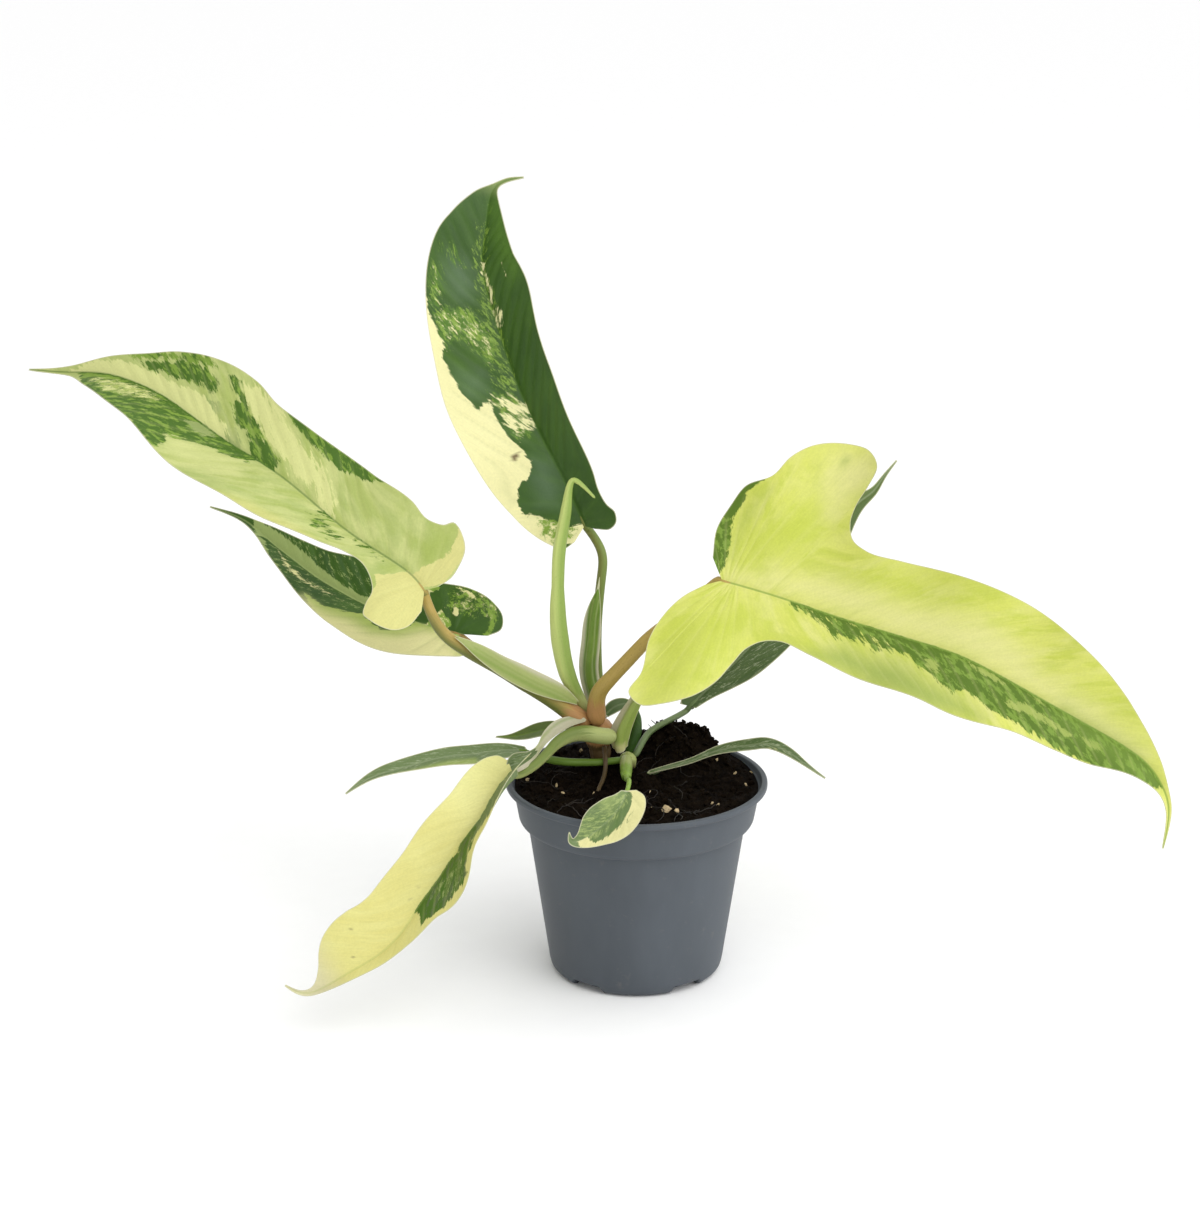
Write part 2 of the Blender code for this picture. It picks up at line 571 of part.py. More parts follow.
stalk("back_right_leaf_stalk", SAGE,
      [(0.2, 19.3, 97.3), (2.5, 25, 99.5), (6, 33, 102), (13, 41, 104)] + stalk_end(back_right, 1.4),
      [(0, 1.6), (0.5, 1.5), (1, 1.4)])

# Hanging leaf at the front left, pale yellow with a dark right half
front_left = blade("front_left_leaf", CREAM,
                   midrib=[(-56, -28, 106), (-63, -42, 102), (-70, -52, 92), (-79, -60, 82),
                           (-86, -66, 72), (-95, -72, 61), (-101, -76, 52), (-112, -80, 41),
                           (-128, -84, 32), (-144, -87, 25), (-153, -90, 30)],
                   face=[(0, (-0.35, -0.88, 0.3)), (0.5, (-0.3, -0.9, 0.3)),
                         (1, (-0.3, -0.85, 0.4))],
                   fold=[(0, 54, 22), (0.25, 52, 22), (0.5, 26, 22), (1, 20, 20)],
                   curl=[(0, 2, 2), (1, 2, 2)],
                   left=[(-6, 4), (-7, 9), (-2, 12), (8, 12.6), (26, 10), (42, 13), (56, 19.3),
                         (68, 17.5), (80, 12), (95, 7), (110, 5), (125, 3.5), (135, 2),
                         (145, 1), (152, 0.4)],
                   right=[(-4, 5), (-3, 9), (2, 12), (10, 14), (30, 17), (51, 19), (78, 20),
                          (92, 22), (107, 24), (116, 23), (122, 20), (127, 15), (132, 8),
                          (138, 2.5), (145, 1), (152, 0.4)],
                   rib=(2.6, 2.2))
stalk("front_left_leaf_stalk", SHEATH,
      [(-13.6, 7.4, 111.4), (-17, 4.4, 113), (-24, 4, 114), (-31, 1, 113), (-37, -3, 110),
       (-41, -9, 107), (-47, -16, 103.5), (-53, -22, 102)] + stalk_end(front_left, 1.6)[1:],
      [(0, 3.6), (0.2, 3.4), (0.4, 2.2), (1, 1.6)], rings=14)
blade("front_left_leaf_sheath", SHEATH,
      midrib=[(-23, 9.5, 117), (-31, 7, 116.5), (-37, 3, 114.5), (-41.5, -2, 111.5),
              (-44.5, -7, 108.5), (-47.5, -12.5, 106.5)],
      face=[(0, (-0.2, -0.8, 0.5)), (1, (0.3, -0.6, 0.6))],
      fold=[(0, 5, 5), (1, 5, 5)], curl=[(0, 4, 4), (1, 4, 4)],
      left=[(1, 1.0), (7, 2.0), (14, 2.6), (21, 2.0), (28, 1.0), (33, 0.4)],
      right=[(1, 1.0), (7, 2.6), (14, 3.6), (21, 3.0), (28, 1.4), (33, 0.4)],
      rib=(0.3, 0.8), columns=4, gap=4.0)

# Small leaves low on the plant
low_left = blade("low_left_leaf", SAGE,
                 midrib=[(-50, 10, 102), (-62, 2, 105), (-75, -6, 106), (-86, -12, 107),
                         (-98, -18, 106), (-109, -24, 105), (-120, -30, 103), (-130, -36, 98)],
                 face=[(0, (0.0, -0.5, 0.85)), (1, (-0.2, -0.5, 0.85))],
                 fold=[(0, 8, 8), (1, 8, 8)], curl=[(0, 2, 2), (1, 2, 2)],
                 left=[(1, 2), (10, 5), (24, 7.5), (40, 7), (54, 5), (68, 3), (84, 1.5),
                       (94, 0.4)],
                 right=[(1, 2), (10, 3.5), (27, 5), (45, 5), (60, 5), (73, 4), (84, 2),
                        (94, 0.4)],
                 rib=(1.4, 1.4), columns=4)
stalk("low_left_leaf_stalk", GREEN,
      [(-16.9, 11.5, 97), (-24, 7, 97), (-35, 7, 97.5)] + stalk_end(low_left, 1.3),
      [(0, 1.7), (0.6, 1.8), (1, 1.3)])
small_back_left = blade("small_back_left_leaf", GREEN,
                        midrib=[(-33, 27, 108), (-40, 30, 105.5), (-48, 35, 102), (-57, 40, 98),
                                (-66, 45, 96)],
                        face=[(0, (0.0, -0.6, 0.8)), (1, (0.0, -0.6, 0.8))],
                        fold=[(0, 10, 10), (1, 10, 10)], curl=[(0, 2, 2), (1, 2, 2)],
                        left=[(1, 2), (8, 4), (16, 4.5), (26, 3), (34, 1.2), (40, 0.4)],
                        right=[(1, 2), (8, 4), (16, 4.5), (26, 3), (34, 1.2), (40, 0.4)],
                        rib=(1.0, 1.2), columns=4, gap=4.0)
stalk("small_back_left_leaf_stalk", GREEN,
      [(-23.5, 21.5, 103.5), (-27.5, 24, 105)] + stalk_end(small_back_left, 1.1)[1:],
      [(0, 1.3), (1, 1.1)], rings=6)
small_front = blade("small_front_leaf", GREEN,
                    midrib=[(-5, -58, 108), (-7, -62, 104), (-12, -65, 98), (-18, -67, 93),
                            (-25, -69, 89), (-29, -70, 89), (-30, -72, 94)],
                    face=[(0, (0.0, -0.8, 0.5)), (0.8, (0.0, -0.9, 0.3)), (1, (0.4, -0.9, 0.1))],
                    fold=[(0, 10, 10), (1, 10, 10)], curl=[(0, 2, 2), (1, 2, 2)],
                    left=[(-1, 4), (1, 8), (4, 10), (8, 11), (14, 11), (19, 9.5), (24, 7),
                          (28, 4.5), (32, 2), (36, 1.0), (40, 0.4)],
                    right=[(1, 2.5), (5, 5), (9, 7.5), (14, 9), (19, 9.5), (24, 8), (28, 5),
                           (32, 1.8), (36, 1.0), (40, 0.4)],
                    rib=(1.2, 1.3), columns=4, gap=3.2)
stalk("small_front_leaf_stalk", GREEN,
      [(-4.8, 12.4, 96.2), (-5, 3, 101), (-5, -20, 107), (-5, -38, 109), (-5, -48, 109)]
      + stalk_end(small_front, 0.9)[1:],
      [(0, 1.8), (0.40, 2.3), (0.50, 3.4), (0.56, 3.2), (0.62, 1.3), (1, 0.9)], rings=20)
strap = blade("strap_leaf", SAGE,
              midrib=[(5, 8.3, 91.6), (14, 6, 95), (25, 4, 99), (35, 2, 104), (44, 0, 107),
                      (53, -2, 109), (60, -4, 110), (69, -7, 107), (77, -10, 102),
                      (85, -13, 97)],
              face=[(0, (0.0, -0.6, 0.8)), (1, (0.3, -0.6, 0.7))],
              fold=[(0, 10, 10), (1, 10, 10)], curl=[(0, 2, 2), (1, 2, 2)],
              left=[(1, 1.3), (12, 2.5), (35, 3), (55, 3.2), (70, 2.5), (80, 1.2), (90, 0.4)],
              right=[(1, 1.3), (12, 2.5), (35, 3), (55, 3.2), (70, 2.5), (80, 1.2), (90, 0.4)],
              rib=(1.0, 1.1), columns=3)
stalk("strap_leaf_stalk", SAGE, [(5.1, 9.8, 81.5), (5.1, 9.8, 86)] + stalk_end(strap, 1.1)[1:],
      [(0, 1.2), (1, 1.1)], rings=6)
small_back = blade("small_back_leaf", SAGE,
                   midrib=[(-15, 40, 108), (-10, 42, 112), (-4, 44, 113), (2, 46, 111)],
                   face=[(0, (0.0, -0.6, 0.8)), (1, (0.0, -0.6, 0.8))],
                   fold=[(0, 10, 10), (1, 10, 10)], curl=[(0, 2, 2), (1, 2, 2)],
                   left=[(1, 2), (6, 3.5), (12, 3), (17, 1), (20, 0.4)],
                   right=[(1, 2), (6, 3.5), (12, 3), (17, 1), (20, 0.4)],
                   rib=(0.8, 1.0), columns=3, gap=3.5)
stalk("small_back_leaf_stalk", SAGE,
      [(-16.7, 24.2, 101.2), (-17, 31, 104)] + stalk_end(small_back, 0.9, LEAF + 0.5)[1:],
      [(0, 1.1), (1, 0.9)], rings=6)

# Rolled new leaf, sheaths, bud and root
stalk("new_leaf_spear", SPEAR,
      [(-21.9, 18.6, 116.0), (-28, 16.8, 128), (-32.5, 15, 140), (-35.7, 15, 161), (-36, 16, 182),
       (-35, 18, 198), (-32, 20, 215), (-29, 22, 227), (-24, 22, 224), (-19, 21, 219)],
      [(0, 2.2), (0.08, 2.7), (0.2, 3.7), (0.33, 4.0), (0.45, 3.5), (0.52, 2.9), (0.65, 3.0),
       (0.79, 2.5), (0.87, 1.6), (0.92, 1.1), (1, 0.5)], sides=10, rings=24)
blade("tall_sheath", SHEATH,
      midrib=[(-17.1, 19.9, 116.2), (-21, 20, 130), (-22, 19, 140), (-21, 19.2, 151),
              (-20, 20, 163), (-18, 22, 174), (-17, 24, 181)],
      face=[(0, (0.0, 1.0, 0.1)), (1, (0.0, 1.0, 0.1))],
      fold=[(0, 30, 30), (1, 20, 20)], curl=[(0, 6, 6), (1, 6, 6)],
      left=[(1, 3.0), (8, 4.6), (20, 5.0), (34, 4.8), (46, 4.2), (54, 2.6), (61, 0.4)],
      right=[(1, 3.0), (8, 4.6), (20, 5.0), (34, 4.8), (46, 4.2), (54, 2.6), (61, 0.4)],
      rib=(1.4, 2.6), columns=4)
blade("side_sheath", SHEATH,
      midrib=[(-7.3, 10.4, 101.6), (-8, 9.6, 107), (-5.5, 10, 115), (-1, 11, 124), (7, 13, 138)],
      face=[(0, (0.1, 1.0, 0.1)), (1, (0.1, 1.0, 0.1))],
      fold=[(0, 30, 30), (1, 30, 30)], curl=[(0, 8, 8), (1, 8, 8)],
      left=[(0.5, 4.0), (6, 5.2), (14, 4.8), (24, 3.6), (34, 2.4), (42, 0.4)],
      right=[(0.5, 4.0), (6, 5.6), (14, 5.0), (24, 3.6), (34, 2.4), (42, 0.4)],
      rib=(1.6, 2.4), columns=4, gap=4.5)
stalk("side_bud", DARK, [(-3.0, 19.5, 99.15), (-0.9, 21.3, 106), (0.3, 22, 112), (0.4, 22, 118)],
      [(0, 1.4), (0.25, 2.8), (0.5, 3.3), (0.8, 2.0), (1, 0.4)], rings=10)
stalk("aerial_root", ROOT, [(-14.9, 11.3, 103.8), (-14.3, 6.5, 98.5), (-14.8, 1.5, 93),
                            (-16.1, -3.5, 88.5), (-16.3, -4, 84.5), (-16.3, -4, 80.6)],
      [(0, 1.5), (0.5, 1.3), (1, 1.1)], sides=8, rings=12)
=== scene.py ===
"""Studio scene of a potted variegated philodendron in a filled 12 cm nursery pot.

The file is laid out as an add-on: settings, one operator for each group of pieces and
a panel that lists them. It is run as a script. Lengths in the tables are millimetres in
the CAD's frame: the pot stands on Z = 0, its axis is Z, and -Y faces the camera.
"""
import math

import bmesh
import bpy
import numpy as np
from bpy.props import FloatProperty, FloatVectorProperty, IntProperty, PointerProperty
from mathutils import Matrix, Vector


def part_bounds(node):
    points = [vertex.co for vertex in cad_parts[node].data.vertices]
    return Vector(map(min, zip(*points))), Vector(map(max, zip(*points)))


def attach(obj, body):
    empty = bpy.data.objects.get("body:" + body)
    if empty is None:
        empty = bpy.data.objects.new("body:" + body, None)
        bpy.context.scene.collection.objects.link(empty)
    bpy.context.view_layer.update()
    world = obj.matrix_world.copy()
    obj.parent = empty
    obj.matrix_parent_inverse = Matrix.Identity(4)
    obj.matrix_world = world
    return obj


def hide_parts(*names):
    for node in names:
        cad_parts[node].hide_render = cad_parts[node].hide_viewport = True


bl_info = {
    "name": "Potted Philodendron",
    "version": (1, 0, 0),
    "blender": (4, 5, 0),
    "location": "View3D > Sidebar > Philodendron",
    "description": "Builds a potted variegated philodendron round its CAD frame",
    "category": "Add Mesh",
}

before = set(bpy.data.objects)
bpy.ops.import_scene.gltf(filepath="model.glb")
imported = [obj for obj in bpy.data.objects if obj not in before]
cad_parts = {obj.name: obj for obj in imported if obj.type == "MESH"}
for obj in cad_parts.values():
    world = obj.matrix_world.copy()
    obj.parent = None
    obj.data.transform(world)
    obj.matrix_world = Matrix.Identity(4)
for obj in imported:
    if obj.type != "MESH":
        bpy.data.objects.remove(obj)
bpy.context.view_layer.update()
POT_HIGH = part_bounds("pot")[1]
MM = 0.001
# The photo's camera: its place in metres, its tilt below level in degrees, its focal
# length in pixels and the photo's middle pixel
CAMERA = (-0.0168, -1.1257, 0.5143)
TILT = 17.0
FOCUS = 2616.0
MIDDLE = (600.0, 615.0)

# Fold and curl of a blade that states none
EVEN_FOLD = ((0, 10, 10), (1, 10, 10))
EVEN_CURL = ((0, 2, 2), (1, 2, 2))
# Leaf blades: midrib points, the way the upper face looks, fold and curl in degrees, the
# ripple of the edge, the outline left and right of the midrib, and the rib below it
LEAVES = {
    "top_leaf": dict(
        midrib=[(-24, 35, 202), (-32, 38, 220), (-43, 42, 241), (-56, 52, 268), (-67, 62, 300),
            (-71, 68, 319), (-69, 74, 336), (-65, 80, 351), (-52, 84, 355)],
        face=[(0, (-0.35, -0.9, 0.25)), (0.5, (-0.35, -0.85, 0.3)), (1, (-0.1, -0.9, 0.5))],
        fold=[(0, 20, 20), (0.5, 25, 22), (1, 25, 20)],
        curl=[(0, 2, 3), (1, 2, 3)],
        wave=(0.6, 46.0, 0.5),
        left=[(-5, 7), (-6, 13), (-1, 18.5), (9, 25), (22, 29.2), (46, 33.3), (70, 34.5),
            (92, 32.6), (112, 30), (131, 25), (145, 20.5), (154, 15), (161, 8), (167, 1.8),
            (175, 1), (181, 0.4)],
        right=[(-3, 6), (-5, 14), (-2, 20), (2, 21), (6, 18), (13, 16.5), (22, 18), (48, 20.5),
            (75, 23), (99, 25.3), (117, 24.4), (135, 18.2), (150, 9.5), (160, 5), (167, 1.8),
            (175, 1), (181, 0.4)],
        rib=(3.2, 2.6),
    ),
    "left_leaf": dict(
        midrib=[(-95, -8, 184), (-101, -6, 191), (-119, 0, 202), (-135, 6, 212), (-151, 13, 224),
            (-168, 20, 235), (-186, 28, 244), (-211, 40, 259), (-225, 47, 265), (-243, 55, 269),
            (-263, 64, 268), (-282, 70, 268)],
        face=[(0, (0.25, -0.8, 0.5)), (0.5, (0.2, -0.8, 0.5)), (1, (0.1, -0.7, 0.7))],
        fold=[(0, 18, 18), (0.5, 20, 20), (1, 25, 25)],
        curl=[(0, 3, 3), (0.5, 2, 2), (1, 2, 2)],
        wave=(1.0, 52.0, 2.0),
        left=[(-7, 8), (-9, 19), (-5, 31), (2, 37), (11, 36), (15, 29), (17, 21), (22, 15),
            (31, 10), (40, 11), (50, 15.4), (74, 24.8), (94, 28.9), (126, 28.9), (143, 26.8),
            (158, 23), (174, 18), (190, 11), (204, 3), (216, 1.2), (226, 0.4)],
        right=[(-2, 6), (-2, 13), (1, 20), (5, 27), (10, 30), (12, 26), (17, 24), (26, 27),
            (52, 27), (84, 25), (100, 26), (118, 30), (132, 30), (144, 27), (155, 22), (170, 14),
            (186, 8), (200, 4), (213, 1.8), (226, 0.4)],
        rib=(3.4, 2.8),
    ),
    "left_leaf_sheath": dict(
        midrib=[(-27.5, 11, 125), (-34, 8.5, 130.2), (-44, 5.2, 136.1), (-52, 1.8, 141.6),
            (-61, -3.2, 148.6), (-68, -7.2, 154.6), (-75, -9.7, 159.6), (-80, -10.7, 162.6)],
        face=[(0, (0.25, -0.8, 0.45)), (1, (0.25, -0.8, 0.45))],
        fold=[(0, -8, -8), (1, -8, -8)],
        curl=[(0, -4, -6), (1, -4, -6)],
        left=[(-1, 1.0), (4, 2.6), (10, 4.2), (16, 5.0), (29, 5.8), (44, 5.4), (57, 4.0),
            (66, 1.6), (70.5, 0.4)],
        right=[(-1, 1.0), (4, 2.4), (10, 4.0), (16, 4.6), (29, 4.6), (44, 3.4), (57, 2.4),
            (66, 1.2), (70.5, 0.4)],
        rib=(0.3, 1.0),
    ),
    "back_left_leaf": dict(
        midrib=[(-83, 40, 149), (-104, 46, 153), (-125, 54, 158), (-140, 60, 164),
            (-152, 65, 170), (-163, 70, 177), (-174, 76, 184), (-186, 82, 192), (-204, 90, 197)],
        face=[(0, (0.2, -0.65, 0.7)), (0.5, (0.15, -0.65, 0.7)), (1, (0.1, -0.6, 0.8))],
        fold=[(0, 15, 15), (0.5, 15, 15), (1, 20, 20)],
        wave=(0.8, 44.0, 1.0),
        left=[(-6, 7), (-8, 13), (0, 18), (10, 22), (26, 25.5), (40, 26), (54, 23), (69, 18),
            (84, 13), (99, 8), (110, 4), (122, 1.8), (133, 1), (141, 0.4)],
        right=[(-14, 2.5), (-19, 7), (-18, 13), (-11, 19), (2, 22.5), (14, 22), (28, 20),
            (46, 20), (61, 19), (81, 13), (93, 10), (106, 7), (118, 3), (132, 1), (141, 0.4)],
        rib=(2.6, 2.2),
    ),
    "right_leaf": dict(
        midrib=[(38, 5, 185), (64, -2, 179), (87, -10, 173), (126, -26, 165), (145, -34, 160),
            (172, -46, 148), (195, -56, 137), (217, -66, 125), (225, -70, 115), (228, -73, 105),
            (226, -76, 88)],
        face=[(0, (0.1, -0.8, 0.5)), (0.5, (0.15, -0.85, 0.45)), (0.85, (0.25, -0.85, 0.3)),
            (1, (0.5, -0.8, 0.2))],
        fold=[(0, 10, 10), (0.5, 18, 14), (1, 25, 20)],
        curl=[(0, 1, 1), (0.5, 2, 2), (1, 2, 2)],
        wave=(1.0, 48.0, 0.0),
        left=[(-7, 9), (-9, 22), (-6, 34), (-2, 44), (9, 52), (14, 62), (23, 71), (33, 75),
            (43, 75), (50.5, 69), (49, 60), (46, 50), (46, 42), (50, 35), (58, 32), (75, 32),
            (108, 33.5), (137, 32.5), (153, 30), (169, 25.5), (183, 19.5), (196, 12), (207, 6),
            (219, 2.2), (232, 1.2), (245, 0.4)],
        right=[(-7, 5), (-14, 13), (-20, 26), (-22, 36), (-20, 56), (-22, 67), (-15, 72),
            (-6, 70), (4, 64), (13, 52), (18, 38), (21, 30), (27, 24), (34, 21.5), (51, 23.5),
            (66, 25.5), (81, 27), (100, 28.5), (118, 29), (136, 27), (152, 22), (170, 19),
            (186, 17), (199, 12), (210, 8), (219, 4), (228, 2), (236, 1.3), (245, 0.4)],
        rib=(3.6, 3.0),
    ),
    "back_right_leaf": dict(
        midrib=[(26, 52, 109), (35, 58, 116), (44, 64, 123), (56, 72, 133), (75, 86, 150),
            (93, 100, 170), (108, 114, 191), (117, 119, 197), (122, 122, 203), (129, 126, 211)],
        face=[(0, (-0.1, -0.85, 0.45)), (1, (0.0, -0.85, 0.45))],
        fold=[(0, 18, 18), (1, 15, 15)],
        wave=(0.8, 40.0, 0.0),
        left=[(-3, 4), (4, 8), (14, 12), (30, 15), (50, 16), (72, 14), (94, 10), (116, 6),
            (134, 4), (149, 1.5), (157, 0.8), (164, 0.4)],
        right=[(1, 3), (9, 5), (20, 9), (32, 13), (46, 15), (62, 15), (80, 13), (100, 9),
            (119, 6), (135, 4), (149, 1.5), (157, 0.8), (164, 0.4)],
        rib=(2.2, 1.9),
    ),
    "front_left_leaf": dict(
        midrib=[(-56, -28, 106), (-63, -42, 102), (-70, -52, 92), (-79, -60, 82), (-86, -66, 72),
            (-95, -72, 61), (-101, -76, 52), (-112, -80, 41), (-128, -84, 32), (-144, -87, 25),
            (-153, -90, 30)],
        face=[(0, (-0.35, -0.88, 0.3)), (0.5, (-0.3, -0.9, 0.3)), (1, (-0.3, -0.85, 0.4))],
        fold=[(0, 54, 22), (0.25, 52, 22), (0.5, 26, 22), (1, 20, 20)],
        left=[(-6, 4), (-7, 9), (-2, 12), (8, 12.6), (26, 10), (42, 13), (56, 19.3), (68, 17.5),
            (80, 12), (95, 7), (110, 5), (125, 3.5), (135, 2), (145, 1), (152, 0.4)],
        right=[(-4, 5), (-3, 9), (2, 12), (10, 14), (30, 17), (51, 19), (78, 20), (92, 22),
            (107, 24), (116, 23), (122, 20), (127, 15), (132, 8), (138, 2.5), (145, 1),
            (152, 0.4)],
        rib=(2.6, 2.2),
    ),
    "front_left_leaf_sheath": dict(
        midrib=[(-23, 9.5, 117), (-31, 7, 116.5), (-37, 3, 114.5), (-41.5, -2, 111.5),
            (-44.5, -7, 108.5), (-47.5, -12.5, 106.5), (-51, -18.5, 105.8), (-54.8, -25, 105.4),
            (-58, -31, 104.6)],
        face=[(0, (-0.2, -0.8, 0.5)), (1, (0.3, -0.6, 0.6))],
        fold=[(0, 5, 5), (1, 5, 5)],
        curl=[(0, 4, 4), (1, 4, 4)],
        left=[(1, 1.0), (7, 2.0), (14, 2.6), (21, 2.0), (28, 1.2), (36, 1.4), (44, 2.2),
            (52, 1.6), (57, 0.4)],
        right=[(1, 1.0), (7, 2.6), (14, 3.6), (21, 3.0), (28, 1.8), (34, 3.0), (40, 5.2),
            (46, 6.5), (52, 5.0), (57, 0.6)],
        rib=(0.3, 0.8),
    ),
    "low_left_leaf": dict(
        midrib=[(-50, 10, 102), (-62, 2, 105), (-75, -6, 106), (-86, -12, 107), (-98, -18, 106),
            (-109, -24, 105), (-120, -30, 103), (-130, -36, 98)],
        face=[(0, (0.0, -0.5, 0.85)), (1, (-0.2, -0.5, 0.85))],
        fold=[(0, 8, 8), (1, 8, 8)],
        left=[(1, 2), (10, 5), (24, 7.5), (40, 7), (54, 5), (68, 3), (84, 1.5), (94, 0.4)],
        right=[(1, 2), (10, 3.5), (27, 5), (45, 5), (60, 5), (73, 4), (84, 2), (94, 0.4)],
        rib=(1.4, 1.4),
    ),
    "small_back_left_leaf": dict(
        midrib=[(-33, 27, 108), (-40, 30, 105.5), (-48, 35, 102), (-57, 40, 98), (-66, 45, 96)],
        face=[(0, (0.0, -0.6, 0.8)), (1, (0.0, -0.6, 0.8))],
        left=[(1, 2), (8, 4), (16, 4.5), (26, 3), (34, 1.2), (40, 0.4)],
        rib=(1.0, 1.2),
    ),
    "small_front_leaf": dict(
        midrib=[(-5, -58, 108), (-7, -62, 104), (-12, -65, 98), (-18, -67, 93), (-25, -69, 89),
            (-29, -70, 89), (-30, -72, 94)],
        face=[(0, (0.0, -0.8, 0.5)), (0.8, (0.0, -0.9, 0.3)), (1, (0.4, -0.9, 0.1))],
        left=[(-1, 4), (1, 8), (4, 10), (8, 11), (14, 11), (19, 9.5), (24, 7), (28, 5), (32, 3),
            (36, 1.3), (40, 0.4)],
        right=[(1, 2.5), (5, 5), (9, 7.5), (14, 9), (19, 9.5), (24, 8.4), (28, 6), (32, 3),
            (36, 1.3), (40, 0.4)],
        rib=(1.2, 1.3),
    ),
    "strap_leaf": dict(
        midrib=[(5, 8.3, 91.6), (14, 6, 95), (25, 4, 99), (35, 2, 104), (44, 0, 107),
            (53, -2, 109), (60, -4, 110), (69, -7, 107), (77, -10, 102), (85, -13, 97)],
        face=[(0, (0.0, -0.6, 0.8)), (1, (0.3, -0.6, 0.7))],
        left=[(1, 0.9), (12, 1.3), (28, 1.7), (40, 2.7), (55, 3.2), (70, 2.5), (80, 1.2),
            (90, 0.4)],
        rib=(1.0, 1.1),
    ),
    "small_back_leaf": dict(
        midrib=[(-15, 40, 108), (-10, 42, 112), (-4, 44, 113), (2, 46, 111)],
        face=[(0, (0.0, -0.6, 0.8)), (1, (0.0, -0.6, 0.8))],
        left=[(1, 2), (6, 3.5), (12, 3), (17, 1), (20, 0.4)],
        rib=(0.8, 1.0),
    ),
    "tall_sheath": dict(
        midrib=[(-17.1, 19.9, 116.2), (-21, 20, 130), (-22, 19, 140), (-21, 19.2, 151),
            (-20, 20, 163), (-18, 22, 174), (-17, 24, 181)],
        face=[(0, (0.0, 1.0, 0.1)), (1, (0.0, 1.0, 0.1))],
        fold=[(0, 30, 30), (1, 20, 20)],
        curl=[(0, 6, 6), (1, 6, 6)],
        left=[(1, 3.0), (8, 4.6), (20, 5.0), (34, 4.8), (46, 4.2), (54, 2.6), (61, 0.4)],
        rib=(1.4, 2.6),
    ),
    "side_sheath": dict(
        midrib=[(-7.3, 10.4, 101.6), (-8, 9.6, 107), (-5.5, 10, 115), (-1, 11, 124),
            (7, 13, 138)],
        face=[(0, (0.1, 1.0, 0.1)), (1, (0.1, 1.0, 0.1))],
        fold=[(0, 30, 30), (1, 30, 30)],
        curl=[(0, 8, 8), (1, 8, 8)],
        left=[(0.5, 4.0), (6, 5.2), (14, 4.8), (24, 3.6), (34, 2.4), (42, 0.4)],
        right=[(0.5, 4.0), (6, 5.6), (14, 5.0), (24, 3.6), (34, 2.4), (42, 0.4)],
        rib=(1.6, 2.4),
    ),
}
